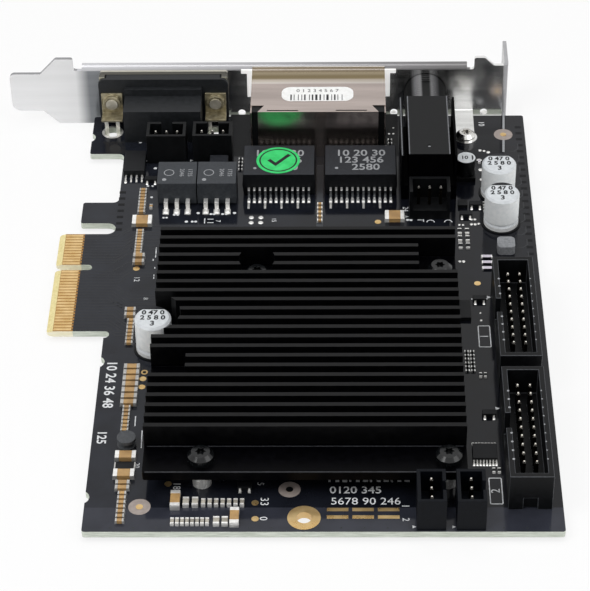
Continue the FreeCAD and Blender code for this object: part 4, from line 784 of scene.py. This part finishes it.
print("finishes:", len(finishes))

# %% [markdown]
# Solids come with knife edges, and a knife edge catches no light, so real parts always look softer.
# Each node is welded and then bevelled, or split at its sharp angles where it is too fine, as modifiers.
# The solids underneath stay as they were, and the bevel width follows the process that made the piece.

# %% Dress the solids
SHARP = math.radians(32)
WELD = 0.002
dress = {
    "circuit_board": ("board", 0), "edge_contacts": ("gold", 0), "slot_bracket": ("steel", 0.08),
    "bracket_screw": ("nickel", 0.1), "heat_sink": ("sink", 0.12, "sink_edge_highlight"),
    "heat_sink_screws": ("black_screw", 0.15), "heat_sink_standoffs": ("standoff", 0.1),
    "processor_chip": ("dark_epoxy", 0.1), "thermal_pad": ("rubber", 0.1), "serial_shell": ("shell", 0.1),
    "serial_body": ("satin_nylon", 0.12), "serial_tails": ("tin", 0), "serial_boardlocks": ("lock", 0.08),
    "serial_screwlocks": ("brass", 0.12), "network_shield": ("shield", 0.08), "network_body": ("nylon", 0.08),
    "network_contacts": ("gold_pin_painted_shade", 0), "phones_housing": ("jack", 0.15), "phones_bushing": ("nylon", 0),
    "phones_nut": ("nickel", 0.15), "phones_tails": ("tin", 0),
    "box_header_shrouds": ("nylon", 0.1, "nylon_edge_highlight"), "box_header_pins": ("gold_pin_painted_shade", 0),
    "audio_header_shrouds": ("nylon", 0.08), "audio_header_pins": ("gold_pin_painted_shade", 0),
    "sync_header_shrouds": ("cool_nylon", 0.08), "sync_header_pins": ("gold_pin_painted_shade", 0),
    "transformer_bodies": ("epoxy", 0.15), "transformer_leads": ("lead", 0.04),
    "isolator_bodies": ("grey_epoxy", 0.12), "isolator_leads": ("tin", 0.05), "choke_block": ("epoxy", 0.12),
    "capacitor_cans": ("can", 0.2), "capacitor_leads": ("tin", 0), "mini_can": ("mini_can", 0.2),
    "mini_can_base": ("nylon", 0.1), "drum_coil": ("ferrite", 0.15), "flat_coil": ("pale_ferrite", 0.25),
    "small_chips": ("dark_epoxy", 0.06), "small_chip_leads": ("tin", 0),
    "ceramic_capacitors": ("ceramic", 0.07), "chip_resistors": ("dark_epoxy", 0.04),
    "soldered_ends": ("cap_end", 0.05), "gold_pads": ("gold", 0), "port_label": ("paper", 0),
    "test_sticker": ("green", 0),
}


def soften(node, width, highlight_slot):
    mesh = node.data
    if "custom_normal" in mesh.attributes:
        mesh.attributes.remove(mesh.attributes["custom_normal"])
    mesh.shade_smooth()
    weld = node.modifiers.new("weld", "WELD")
    weld.merge_threshold = WELD * MM
    if width:
        bevel = node.modifiers.new("bevel", "BEVEL")
        bevel.width = width * MM
        bevel.segments = 2
        bevel.limit_method = "ANGLE"
        bevel.angle_limit = SHARP
        bevel.harden_normals = True
        # Bevel faces take the node's second finish, a pale painted edge highlight, where one is listed.
        bevel.material = highlight_slot
    else:
        split = node.modifiers.new("sharp edges", "EDGE_SPLIT")
        split.split_angle = SHARP


for name, (finish, width, *edge) in dress.items():
    nodes[name].data.materials.clear()
    for each in (finish, *edge):
        nodes[name].data.materials.append(finishes[each])
    soften(nodes[name], width, 1 if edge else -1)
print("nodes dressed:", len(dress), "of", len(nodes))

# %% [markdown]
# The end of the bracket tongue is nearly square, with a larger radius below than above.
# Two small plates fill the corners of the rounder solid, and take the same finish as the sheet.
# They lie a hair inside its faces, so no two surfaces share a plane.

# %% Tongue corners
SOLID_R = 4.2
TONGUE_Z = (1.0, 11.7)
CORNER_R = (2.3, 1.3)
SHEET_Y = (59.71, 60.59)
bracket_low = node_box("slot_bracket")[0]
CORNER_STEPS = 11
tray = Tray()
for z, radius, start, inward in ((TONGUE_Z[0], CORNER_R[0], 270, 1), (TONGUE_Z[1], CORNER_R[1], 180, -1)):
    sharp, round_end = [arc(bracket_low.x + r, z + inward * r, r, start, start - 90, CORNER_STEPS)
                        for r in (radius, SOLID_R)]
    outline = sharp + round_end[::-1]
    walls = [[tray.mesh.verts.new(Vector((x, y, up)) * MM) for x, up in outline] for y in SHEET_Y]
    for i in range(len(outline)):
        tray.mesh.faces.new((walls[0][i - 1], walls[0][i], walls[1][i], walls[1][i - 1]))
    for wall in walls:
        for i in range(CORNER_STEPS - 1):
            tray.mesh.faces.new((wall[i], wall[i + 1], wall[-2 - i], wall[-1 - i]))
tray.place("tongue_corners", finishes["steel"], "bracket_steel")

# %% [markdown]
# Under the mask the copper stands a little proud, so traces show as faint lighter lines on the black board.
# Lanes run from the contacts towards the big chip with one diagonal jog each, in pairs as data lines do.
# Wide planes fill the ground round the transformers, and short hooked lanes run along the right rim.

# %% Copper under the mask
COPPER = 0.018
LANE_WIDTH = 0.22
LANE_JOG = 13.0
LANE_SHIFT = 2.2
KEY_SIDE = -6
RIM_WIDTH = 0.3
RIM_PITCH = 4.6
RIM_LANES = 26
contacts = sorted({round((low.y + high.y) / 2, 3) for low, high in pieces_in("edge_contacts")})
lane_start = node_box("edge_contacts")[1].x
sink_low, sink_high = node_box("heat_sink")
tray = Tray()
for i, y in enumerate(contacts):
    pair = i // 2
    jog = LANE_JOG + 0.55 * (pair % 5)
    shift = (LANE_SHIFT + 0.5 * (pair % 4)) * (1 if y > KEY_SIDE else -1)
    path = [(lane_start, y), (jog, y), (jog + abs(shift), y + shift), (sink_low.x + 3, y + shift)]
    tray.ribbon(path, LANE_WIDTH, TOP, TOP + COPPER)
rim = BOARD_HIGH.x - 2.6
for i in range(RIM_LANES):
    y = BOARD_LOW.y + 12 + i * RIM_PITCH
    path = [(rim - 1.4, y), (rim - 0.4, y), (rim + 0.6, y + 1.0), (rim + 0.6, y + 3.2)]
    tray.ribbon(path, RIM_WIDTH, TOP, TOP + COPPER)
tray.place("copper_traces", finishes["trace"], "board")

tray = Tray()
line_boxes = pieces_in("transformer_bodies")
left_line, right_line = line_boxes[0], line_boxes[1]
gap_x = (left_line[1].x + right_line[0].x) / 2
plane_near = sink_high.y + 3.4
plane_far = plane_near + 2.2
tray.block(left_line[0].x - 1.0, right_line[1].x + 1.5, plane_near, plane_far, TOP, TOP + COPPER)
tray.block(gap_x - 0.75, gap_x + 0.75, plane_far, left_line[1].y, TOP, TOP + COPPER)
for i in range(7):
    x = left_line[1].x + 3.0 + i * 2.1
    tray.ribbon([(x, plane_near - 2.6), (x + 2.4, plane_near)], 0.9, TOP, TOP + COPPER)
tray.place("copper_planes", finishes["pour"], "board")

# %% [markdown]
# Plated holes join the layers of the board, each one a tiny dark dimple with a raised rim.
# A ring and a dark dot are enough at this size, set out by a loop along the near rim on both faces.
# Where the mask lies thin the board looks darker, in two rows of small windows; round the ports a dark sheet
# is painted shade.

# %% Plated holes
VIA_R = 0.28
VIA_HOLE_R = 0.14
VIA_START = BOARD_LOW.x + 13.7
VIA_PITCH = 4.6
VIAS = 21
rings = Tray()
dots = Tray()
for i in range(VIAS):
    x, y = VIA_START + i * VIA_PITCH, BOARD_LOW.y + 1.1
    for z, out in ((TOP, 1), (UNDER, -1)):
        rings.ring(x, y, VIA_HOLE_R, VIA_R, min(z, z + out * COPPER), max(z, z + out * COPPER), 12)
        dots.rod(x, y, VIA_HOLE_R, min(z, z + out * COPPER / 3), max(z, z + out * COPPER / 3), sides=12)
rings.place("via_rims", finishes["pour"], "board")
dots.place("via_holes", finishes["pit"], "board")
RIM_WELLS = (107.2, 4.5, 2.45, 21)
TAB_WELLS = (13.3, 13.8, 2.35, 7)
WELL_X = 0.75
WELL_Y = 0.45
PORT_PAINTED_SHADE = ((37.6, 78.2), (42.0, 59.2))
wells = Tray()
for x, first, pitch, count in (RIM_WELLS, TAB_WELLS):
    for i in range(count):
        y = first + i * pitch
        wells.block(x - WELL_X, x + WELL_X, y - WELL_Y, y + WELL_Y, TOP, TOP + COPPER / 2)
# Painted shade: a dark sheet on the board round the ports.
wells.block(*PORT_PAINTED_SHADE[0], *PORT_PAINTED_SHADE[1], TOP, TOP + COPPER / 4)
wells.place("mask_wells_and_port_shade", finishes["well"], "board")

# %% [markdown]
# Placement machines find the board by gold dots in round windows of bare laminate, cut in the mask.
# The ground hole near the front edge is plated right through, so a gold sleeve lines it.
# Both are rings round places that the solids already hold.

# %% Windows and plated sleeves
WINDOW_R = 2.25
WINDOW_T = 0.012
MARK_R = 0.76
SMALL_R = 0.4
DOT_WIDE = 1.5
gold = pieces_in("gold_pads")
dots = [(low + high) / 2 for low, high in gold if abs(high.x - low.x - DOT_WIDE) < 0.1]
ring_box = max(gold, key=lambda box: box[1].x - box[0].x)
ring_at = (ring_box[0] + ring_box[1]) / 2
marks = [Vector((23.8, -76.4)), Vector((53.85, -71.45)), Vector((103.5, 50.5))]
tray = Tray()
for dot in dots:
    if min((dot.xy - mark).length for mark in marks) < 0.5:
        tray.ring(dot.x, dot.y, MARK_R, WINDOW_R, TOP, TOP + WINDOW_T)
tray.place("mark_windows", finishes["bare_grey"], "board")
tray = Tray()
DARK_CENTRES = [(53.85, -71.45, MARK_R), (22.3, -35.7, SMALL_R), (79.57, 25.84, SMALL_R)]
pad_top = ring_box[1].z
for x, y, radius in DARK_CENTRES:
    tray.rod(x, y, radius, TOP if radius == SMALL_R else pad_top, pad_top + WINDOW_T)
tray.place("dark_centres", finishes["pit"], "board")
GROUND_HOLE_R = 1.6
SLEEVE_T = 0.05
HAIR = 0.002
FOIL = 0.03
tray = Tray()
tray.ring(ring_at.x, ring_at.y, GROUND_HOLE_R - SLEEVE_T, GROUND_HOLE_R - HAIR, UNDER - FOIL, TOP + SLEEVE_T)
tray.ring(ring_at.x, ring_at.y, GROUND_HOLE_R, (ring_box[1].x - ring_box[0].x) / 2, UNDER - FOIL, UNDER)
tray.ring(DARK_CENTRES[2][0], DARK_CENTRES[2][1], SMALL_R, DOT_WIDE / 2, TOP, pad_top)
tray.place("ground_sleeve", finishes["gold"], "gold")

# %% [markdown]
# Every soldered foot sits on a tinned pad, with a small slope of solder drawn up against it.
# The pads are found from the leads: each foot points away from the body that it belongs to.
# Round pads with nothing on them are low domes of tin.

# %% Solder on top
PAD_T = 0.03
BROW = 0.12
TAPER = 0.05
PAD_WIDER = 0.25
TOE_OUT = 0.5
HEEL = 0.01
MOUND_RUNS = (0.3, 0.05)
tray = Tray()


def nearest_body(box, bodies):
    middle = (box[0] + box[1]) / 2
    return min(bodies, key=lambda body: (((body[0] + body[1]) / 2) - middle).length)


def chip_solder(ends, bodies, reach, climb):
    for low, high in ends:
        body = nearest_body((low, high), bodies)
        away = (low + high) / 2 - (body[0] + body[1]) / 2
        along = 0 if abs(away.x) > abs(away.y) else 1
        near, far = low[1 - along], high[1 - along]
        out = 1 if away[along] > 0 else -1
        inner = high[along] if out > 0 else low[along]
        outer = inner + out * reach
        brow = inner + out * reach * BROW
        foot = [(inner, near), (inner, far), (outer, far - TAPER), (outer, near + TAPER)]
        crest = [(inner, near), (inner, far), (brow, far), (brow, near)]
        if along:
            foot, crest = [[(x, y) for y, x in points] for points in (foot, crest)]
        tray.prism(foot, TOP, TOP + PAD_T)
        tray.prism(foot, TOP + PAD_T, TOP + climb * (high.z - TOP), crest)


chips = pieces_in("ceramic_capacitors") + pieces_in("chip_resistors")
chip_solder(pieces_in("soldered_ends"), chips, 0.12, 0.7)


def foot_pads(name, bodies, reach, climb):
    for low, high in pieces_in(name):
        body = nearest_body((low, high), bodies)
        out = 1 if (low.y + high.y) > (body[0].y + body[1].y) else -1
        toe = high.y if out > 0 else low.y
        wide = (high.x - low.x) * PAD_WIDER
        foot = [(low.x - wide, toe - out * reach), (high.x + wide, toe - out * reach),
                (high.x + wide, toe + out * reach * TOE_OUT), (low.x - wide, toe + out * reach * TOE_OUT)]
        tray.prism(foot, TOP, TOP + PAD_T)
        heel = [(low.x, toe - out * HEEL), (high.x, toe - out * HEEL)]
        mound, crest = [heel + [(high.x, toe + out * run), (low.x, toe + out * run)] for run in MOUND_RUNS]
        tray.prism(mound, TOP + PAD_T, TOP + climb, crest)


foot_pads("transformer_leads", pieces_in("transformer_bodies"), 1.0, 0.22)
TAIL_LINES = (0, 3, 6, 9)
for body_low, body_high in pieces_in("transformer_bodies"):
    near_leads = [box for box in pieces_in("transformer_leads")
                  if box[0].y < body_low.y and body_low.x < box[0].x < body_high.x]
    for i in TAIL_LINES:
        low, high = near_leads[i]
        x = (low.x + high.x) / 2
        tray.block(x - 0.25, x + 0.25, low.y - 2.6, low.y - 0.5, TOP, TOP + PAD_T)
foot_pads("isolator_leads", pieces_in("isolator_bodies"), 1.3, 0.26)
foot_pads("small_chip_leads", pieces_in("small_chips"), 0.5, 0.14)
BARE_PADS = [(77.31, 60.15, 0.6), (99.39, 59.86, 0.75), (76.05, 51.02, 0.3), (77.08, 51.01, 0.3),
             (77.12, 53.41, 0.25), (97.63, 44.13, 0.4), (98.57, 43.88, 0.35), (99.56, 43.38, 0.45),
             (97.59, 40.23, 0.3), (96.87, 40.24, 0.3), (97.41, 36.38, 0.55), (97.38, 32.57, 0.45),
             (97.69, 27.15, 0.7), (94.43, 17.26, 0.35), (95.2, 17.26, 0.35), (94.35, 15.45, 0.4),
             (95.2, 15.45, 0.4), (91.56, 15.23, 0.3), (92.4, 15.23, 0.3), (96.03, 15.67, 0.35),
             (91.12, 1.86, 0.35), (91.98, 1.86, 0.4), (94.93, -16.27, 0.25), (94.99, -18.7, 0.3),
             (43.7, 18.2, 0.6), (45.9, 18.2, 0.6), (43.7, 16.3, 0.6), (45.9, 16.3, 0.6)]
for x, y, radius in BARE_PADS:
    tray.rod(x, y, radius, TOP, TOP + 2 * PAD_T, radius * 0.7)
tray.place("solder_pads", finishes["tin"], "tin")

# %% [markdown]
# Pins and tails that pass through the board end below it in shiny cones, one for each tail.
# A disc and a tapered rod make a cone, at the places that the solids of the pins give.
# Each lock of the nine way connector gets a flat ring on both faces, where its legs are clenched.

# %% Solder below
CONE = 0.75
CONE_TIP = 1.15
CONE_REACH = 0.42
DISC_REACH = 0.55
LOCK_Y = 52.0
LOCK_PAD = (1.96, 2.55)
tray = Tray()
for name in ("box_header_pins", "audio_header_pins", "sync_header_pins", "serial_tails", "capacitor_leads",
             "phones_tails"):
    for low, high in pieces_in(name):
        x, y = (low.x + high.x) / 2, (low.y + high.y) / 2
        half = (high.x - low.x) / 2
        tray.rod(x, y, half + DISC_REACH, UNDER - PAD_T, UNDER, sides=14)
        tray.rod(x, y, half * CONE_TIP, UNDER - CONE, UNDER - PAD_T, half + CONE_REACH, sides=14)
for low, high in pieces_in("serial_boardlocks"):
    for z in (TOP, UNDER - PAD_T):
        tray.ring((low.x + high.x) / 2, LOCK_Y, *LOCK_PAD, z, z + PAD_T)
tray.place("solder_joints", finishes["tin"], "tin")

# %% [markdown]
# White legend ink marks pin one of each connector, frames the numbers of the headers and numbers the pads.
# Frames and triangles are drawn here, and the numerals come from Blender's own font.
# They are printed layers, so they stand only a hundredth of a millimetre or so above the mask.

# %% Frames and numerals
LINE = 0.22
tray = Tray()


def frame_mark(x0, x1, y0, y1):
    tray.ribbon([(x0, y0), (x1, y0)], LINE, TOP, TOP + INK)
    tray.ribbon([(x0, y1), (x1, y1)], LINE, TOP, TOP + INK)
    tray.ribbon([(x0, y0 + LINE / 2), (x0, y1 - LINE / 2)], LINE, TOP, TOP + INK)
    tray.ribbon([(x1, y0 + LINE / 2), (x1, y1 - LINE / 2)], LINE, TOP, TOP + INK)


def pin_one(x, y, size, turn):
    tray.prism(circle(x, y, size, 3, turn), TOP, TOP + INK)


FRAME_X = (94.2, 96.7)
HEADER_FRAMES = [(-27.6, -20.6, "1"), (-75.6, -68.2, "2")]
for near, far, number in HEADER_FRAMES:
    frame_mark(*FRAME_X, near, far)
    tray.numerals(number, sum(FRAME_X) / 2, (near + far) / 2, TOP, 2.6, 90)
for low, high in pieces_in("box_header_shrouds"):
    pin_one(low.x - 0.7, high.y - 3.2, 0.6, 0)
for low, high in pieces_in("audio_header_shrouds") + pieces_in("sync_header_shrouds"):
    pin_one(low.x - 0.6, low.y + 1.0, 0.5, 0)
SIDEWAYS = [("18", 30.95, -70.4, 2.2), ("5", 47.9, -69.8, 1.9), ("33", 48.8, -74.9, 2.4),
            ("0", 48.7, -79.7, 2.2), ("1", 77.1, -76.2, 2.2), ("2", 77.1, -80.0, 2.0),
            ("20", 22.5, -64.4, 1.5), ("12", 18.6, -4.2, 1.8), ("8", 21.0, -11.1, 1.6),
            ("10", 98.4, 55.0, 2.0), ("24", 79.3, 21.2, 1.8), ("7", 36.0, 16.9, 1.6),
            ("15", 48.9, 17.2, 1.5)]
for text, x, y, height in SIDEWAYS:
    tray.numerals(text, x, y, TOP, height, -90)
print("header frames:", len(HEADER_FRAMES), "sideways numerals:", len(SIDEWAYS))

# %% [markdown]
# The rest of the legend is small: dots and ticks beside the chip parts, two half rings and a dashed row.
# Each kind is a short list of places with one loop, and all go into the same tray as the frames.
# A few bars of bare gold and a pale line of painted shine near the screw tab get trays of their own.

# %% Dots, ticks and bars
INK_DOTS = [(20.39, 37.34, 0.4), (19.07, 30.35, 0.3), (20.15, 30.34, 0.3), (20.19, 25.98, 0.35),
            (16.19, 47.77, 0.35), (31.33, 19.9, 0.4), (39.77, 19.9, 0.4), (28.75, 16.7, 0.4),
            (23.4, 18.2, 0.3), (24.1, 18.2, 0.3), (25.83, 19.3, 0.35), (26.63, 19.3, 0.35),
            (34.3, 19.5, 0.35), (35.0, 19.5, 0.35), (37.0, 19.5, 0.35), (37.8, 19.5, 0.35),
            (30.1, 16.7, 0.35), (30.9, 16.7, 0.35), (79.7, 17.1, 0.4), (80.5, 17.1, 0.4),
            (93.38, -11.42, 0.3), (96.42, -11.43, 0.3)]
for x, y, radius in INK_DOTS:
    tray.rod(x, y, radius, TOP, TOP + INK, sides=12)
pin_one(19.38, 33.6, 0.6, 90)
INK_TICKS = [((22.38, 7.1), (22.42, 3.5)), ((21.9, 3.0), (21.9, 2.3)), ((22.44, 0.1), (22.44, -0.5)),
             ((22.4, -2.6), (22.44, -4.1)), ((16.18, 50.1), (16.19, 47.8)), ((82.0, 17.1), (83.4, 17.1)),
             ((83.4, 17.5), (83.4, 16.4)), ((32.97, 17.9), (32.97, 16.0)), ((33.6, 17.6), (35.0, 17.6)),
             ((33.6, 16.3), (35.0, 16.3)), ((22.95, -53.9), (23.07, -59.2)),
             ((21.3, -49.5), (21.36, -52.6))]
for first, last in INK_TICKS:
    tray.ribbon([first, last], LINE, TOP, TOP + INK)
HALF_RINGS = [(85.0, 16.2), (89.05, 16.2)]
for x, y in HALF_RINGS:
    tray.ribbon(arc(x, y, 0.85, 0, 180, 12), LINE, TOP, TOP + INK)
DASH_START = 61.7
DASH_PITCH = 1.4
DASH_Y = (-69.3, -68.4)
DASHES = 12
for i in range(DASHES):
    x = DASH_START + i * DASH_PITCH
    tray.block(x, x + 0.45 + 0.3 * (i % 3), *DASH_Y, TOP, TOP + INK)
BIG_NUMERALS = [("10 24 36 48", 15.1, -39.5, 3.1, -90, 0.05), ("125", 14.6, -56.0, 2.7, -90, 0.05),
                ("0120 345", 67.2, -71.7, 2.8, 0, 0.03), ("5678 90 246", 69.2, -74.9, 2.8, 0, 0.0)]
for text, x, y, height, turn, bold in BIG_NUMERALS:
    tray.numerals(text, x, y, TOP, height, turn, bold)
tray.place("legend_print", finishes["silk"], "label_white")
BAR_STARTS = (61.4, 66.5, 71.6)
BAR_LONG = 4.3
BAR_ROWS = ((-79.75, -78.8), (-77.65, -76.7))
tray = Tray()
for x in BAR_STARTS:
    for near, far in BAR_ROWS:
        tray.block(x, x + BAR_LONG, near, far, TOP, TOP + INK)
tray.place("gold_bars", finishes["gold"], "gold")
# Painted shine: a pale line near the screw tab.
TAB_SHINE = [(104.1, 59.6), (103.2, 43.4)]
tray = Tray()
tray.ribbon(TAB_SHINE, 0.5, TOP, TOP + INK / 2)
tray.place("tab_shine_line", finishes["grey_print_and_glints"], "label_white")

# %% [markdown]
# A threaded bushing holds the headphone jack, and its thread shows as fine bright lines behind the bracket.
# A thread this fine is not worth a helix in the solids, so the bushing is turned here with a ridged profile.
# The flat along its top stays, because it stops the jack from turning, and the bore stays open for the plug.

# %% Threaded bushing
THREAD_PITCH = 0.75
THREAD_DEPTH = 0.22
BORE_R = 3.2
FLAT_Z = 4.62
FLAT_END = 56.7
bush_low, bush_high = node_box("phones_bushing")
BUSH_X = (bush_low.x + bush_high.x) / 2
BUSH_R = (bush_high.x - bush_low.x) / 2
BUSH_Z = bush_low.z + BUSH_R
SIDES = 64
# Painted highlights: two pale bands across the thread's width, near black elsewhere.
THREAD_HIGHLIGHT_BANDS = [(-5.0, "#070808"), (-3.5, "#0c0d0e"), (-2.6, "#6c6c6e"), (-1.3, "#808081"), (-0.8, "#0b0c0d"),
         (0.8, "#0b0c0d"), (1.3, "#707071"), (2.4, "#505052"), (3.3, "#0c0d0e"), (5.0, "#070808")]


def threaded_bushing():
    tray = Tray()
    steps = int((bush_high.y - bush_low.y) / THREAD_PITCH * 2)
    profile = [(BORE_R, bush_low.y)]
    for i in range(steps + 1):
        y = bush_low.y + (bush_high.y - bush_low.y) * i / steps
        profile.append((BUSH_R - (THREAD_DEPTH if i % 2 == 0 else 0.0), y))
    profile.append((BORE_R, bush_high.y))
    rings = []
    for radius, y in profile:
        ring = []
        for k in range(SIDES):
            angle = 2 * math.pi * k / SIDES
            height = radius * math.sin(angle)
            if y < FLAT_END:
                height = min(height, FLAT_Z)
            spot = Vector((BUSH_X + radius * math.cos(angle), y, BUSH_Z + height))
            ring.append(tray.mesh.verts.new(spot * MM))
        rings.append(ring)
    for i in range(len(rings)):
        for k in range(SIDES):
            tray.mesh.faces.new((rings[i - 1][k - 1], rings[i - 1][k], rings[i][k], rings[i][k - 1]))
    thread_highlights = [(BUSH_X + at, code) for at, code in THREAD_HIGHLIGHT_BANDS]
    thread = painted_bands("glossy black thread", thread_highlights, 0, 0.3, 0.0, 0.12)
    piece = tray.place("phones_thread", thread, "black_plastic")
    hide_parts("phones_bushing")


threaded_bushing()

# %% [markdown]
# Thin pale strips along the edges of black parts are painted highlights, where light catches an edge.
# The jack housing has three such lines along its top, and a pale dot near its front.
# The heat sink has two, one at the foot of its last fin and one along the near edge of its plate.

# %% Painted edge highlights
SHEEN_T = 0.015
EDGE_LINE = 0.26
DOT_Y = 28.2
DOT_Z = 12.7
tray = Tray()
tray.rod(BUSH_X, DOT_Y, 0.45, DOT_Z, DOT_Z + 0.02, sides=20)
tray.place("housing_dot", finishes["grey_print_and_glints"], "label_white")
TOP_HALF = 4.75
SIDE_TOP = 12.6
house_low, house_high = node_box("phones_housing")
tray = Tray()
for x, z in ((BUSH_X - TOP_HALF, house_high.z), (BUSH_X + TOP_HALF - EDGE_LINE, house_high.z),
             (house_low.x, SIDE_TOP)):
    tray.block(x, x + EDGE_LINE, house_low.y, house_high.y, z, z + SHEEN_T)
tray.place("housing_edge_highlights", finishes["jack_edge_highlight"], "black_plastic")
PLATE_TOP = 6.5
LAST_FIN = -65.51
PLATE_EDGE = 0.12
PLATE_CORNER = 0.6
tray = Tray()
for y in (LAST_FIN - EDGE_LINE, sink_low.y + PLATE_EDGE):
    tray.block(sink_low.x + PLATE_CORNER, sink_high.x - PLATE_CORNER, y, y + EDGE_LINE,
               PLATE_TOP, PLATE_TOP + SHEEN_T)
tray.place("sink_highlight_lines", finishes["sink_edge_highlight"], "black_aluminium")

# %% [markdown]
# The aluminium cans are printed on top with a dark half moon on the negative side and plain numerals.
# Below its crimp each can ends in a bright skirt that stands on a black rubber seat.
# Print, skirt and seat are thin prisms and rings, so they follow the can if it is looked at from any side.

# %% Can tops
SEAT_T = 0.25
SEAT_REACH = 0.55
SKIRT_TOP = 1.2
MOON_INSET = 0.35
MINI_MOON_R = 1.7
CAN_LINES = [("0 47 0", 1.5, 1.9), ("2 5 8 0", -0.2, 1.9), ("3", -2.1, 2.1)]
skirts = Tray()
seats = Tray()
inked = Tray()
for low, high in pieces_in("capacitor_cans"):
    centre = (low + high) / 2
    wall = (high.x - low.x) / 2
    skirts.ring(centre.x, centre.y, wall - 0.1, wall + 0.03, TOP + SEAT_T, TOP + SKIRT_TOP)
    seats.ring(centre.x, centre.y, wall - 0.1, wall + SEAT_REACH, TOP, TOP + SEAT_T)
    inked.prism(arc(centre.x, centre.y, wall - MOON_INSET, 45, 135, 15), high.z, high.z + INK)
    for words, rise, size in CAN_LINES:
        inked.numerals(words, centre.x, centre.y + rise, high.z, size, bold=0.07)
mini_low, mini_high = node_box("mini_can")
mini = (mini_low + mini_high) / 2
inked.prism(arc(mini.x, mini.y, MINI_MOON_R, -40, 40, 13), mini_high.z, mini_high.z + INK)
inked.numerals("10", mini.x - 0.4, mini.y, mini_high.z, 1.7, bold=0.05)
inked.place("can_print", finishes["ink"], "can_aluminium")
skirts.place("can_skirts", finishes["skirt"], "can_aluminium")
seats.place("can_seats", finishes["nylon"], "black_plastic")

# %% [markdown]
# A paper label on the port shield carries a row of bars, and a round green sticker marks a tested card.
# The bars vary in width by a fixed pattern, and the sticker carries a simple tick.
# Both are flat print, laid on the solids of the label and the sticker.

# %% Label bars and sticker tick
label_low, label_high = node_box("port_label")
BAR_PATTERN = [2, 1, 1, 3, 1, 2, 1, 1, 2, 3, 1, 1, 2, 1, 3, 1, 2, 2, 1, 1, 3, 2, 1, 1, 2, 1, 1, 3, 1, 2]
BAR_UNIT = 0.178
bar_y = (label_low.y + 0.25, label_low.y + 2.6)
across = label_low.x + 2.06
tray = Tray()
for i, count in enumerate(BAR_PATTERN):
    width = count * BAR_UNIT
    if i % 2 == 0:
        tray.block(across, across + width, *bar_y, label_high.z, label_high.z + INK)
    across += width + BAR_UNIT * 0.8
tray.numerals("0 1 2 3 4 5 6 7", (label_low.x + label_high.x) / 2, label_high.y - 1.6, label_high.z, 1.7)
tray.place("label_print", finishes["ink"], "label_white")
disc_low, disc_high = node_box("test_sticker")
disc = (disc_low + disc_high) / 2
TICK = [(-2.2, 0.2), (-0.6, -1.6), (2.6, 2.2)]
TICK_WIDTH = 0.9
STICKER_RING = (4.1, 4.45)
tray = Tray()
tray.ribbon([(disc.x + x, disc.y + y) for x, y in TICK], TICK_WIDTH, disc_high.z, disc_high.z + INK)
tray.ring(disc.x, disc.y, *STICKER_RING, disc_high.z, disc_high.z + INK)
tray.place("sticker_tick", finishes["ink"], "sticker_green")

# %% [markdown]
# Print on a chip top is pale and thin, and a dot marks the side of its first lead.
# Rows of plain numerals and the dot are flat shapes a hair above the epoxy.
# The pale resistors are thin sheets of the same kind, and the painted glints on the header walls are grey
# dots.

# %% Marks on chip tops
LINE_ROWS = [("10 20 30", 0, 3.4), ("123 456", 0, 6.1), ("2580", 1.2, 8.9)]
LINE_DOT = (2.9, 9.2)
ISOLATOR_ROWS = [("2046", 0.62), ("1735", 0.83)]
ISOLATOR_DOT = (0.18, 0.2)
RING_AT = 0.29
RING_R = 0.135
tray = Tray()
for low, high in pieces_in("transformer_bodies"):
    middle = (low.x + high.x) / 2
    for words, shift, down in LINE_ROWS:
        tray.numerals(words, middle + shift, high.y - down, high.z, 3.3, bold=0.05)
    tray.rod(low.x + LINE_DOT[0], high.y - LINE_DOT[1], 0.4, high.z, high.z + INK, sides=16)
for low, high in pieces_in("isolator_bodies"):
    wide = high.x - low.x
    deep = high.y - low.y
    for words, share in ISOLATOR_ROWS:
        tray.numerals(words, low.x + share * wide, low.y + 0.5 * deep, high.z, 1.5, -90)
    dot_x, dot_y = low.x + ISOLATOR_DOT[0] * wide, low.y + ISOLATOR_DOT[1] * deep
    tray.rod(dot_x, dot_y, 0.5, high.z, high.z + INK, sides=16)
    outer = RING_R * wide
    tray.ring(low.x + RING_AT * wide, low.y + 0.5 * deep, outer - 0.2, outer, high.z, high.z + INK)
tray.place("transformer_print", finishes["grey_print_and_glints"], "label_white")
PALE_RESISTOR_X = 97.25
tray = Tray()
for low, high in pieces_in("chip_resistors"):
    if abs((low.x + high.x) / 2 - PALE_RESISTOR_X) < 0.1:
        tray.block(low.x, high.x, low.y, high.y, high.z, high.z + INK)
tray.place("resistor_glaze", finishes["pale_top"], "ceramic")
# Painted glints: grey dots on the header wall tops beside the pin rows.
WALL_GLINT_INSET = 1.0
KEY_ROWS = (4, 5)
pin_places = {round((low.y + high.y) / 2, 2) for low, high in pieces_in("box_header_pins")}
pin_rows = sorted(pin_places, reverse=True)
tray = Tray()
for low, high in pieces_in("box_header_shrouds"):
    for i, y in enumerate([y for y in pin_rows if low.y < y < high.y]):
        if i and i not in KEY_ROWS:
            tray.rod(low.x + WALL_GLINT_INSET, y, 0.26, high.z, high.z + INK, sides=12)
        if i:
            tray.rod(high.x - WALL_GLINT_INSET, y, 0.17, high.z, high.z + INK, sides=12)
tray.place("wall_glints", finishes["grey_print_and_glints"], "label_white")
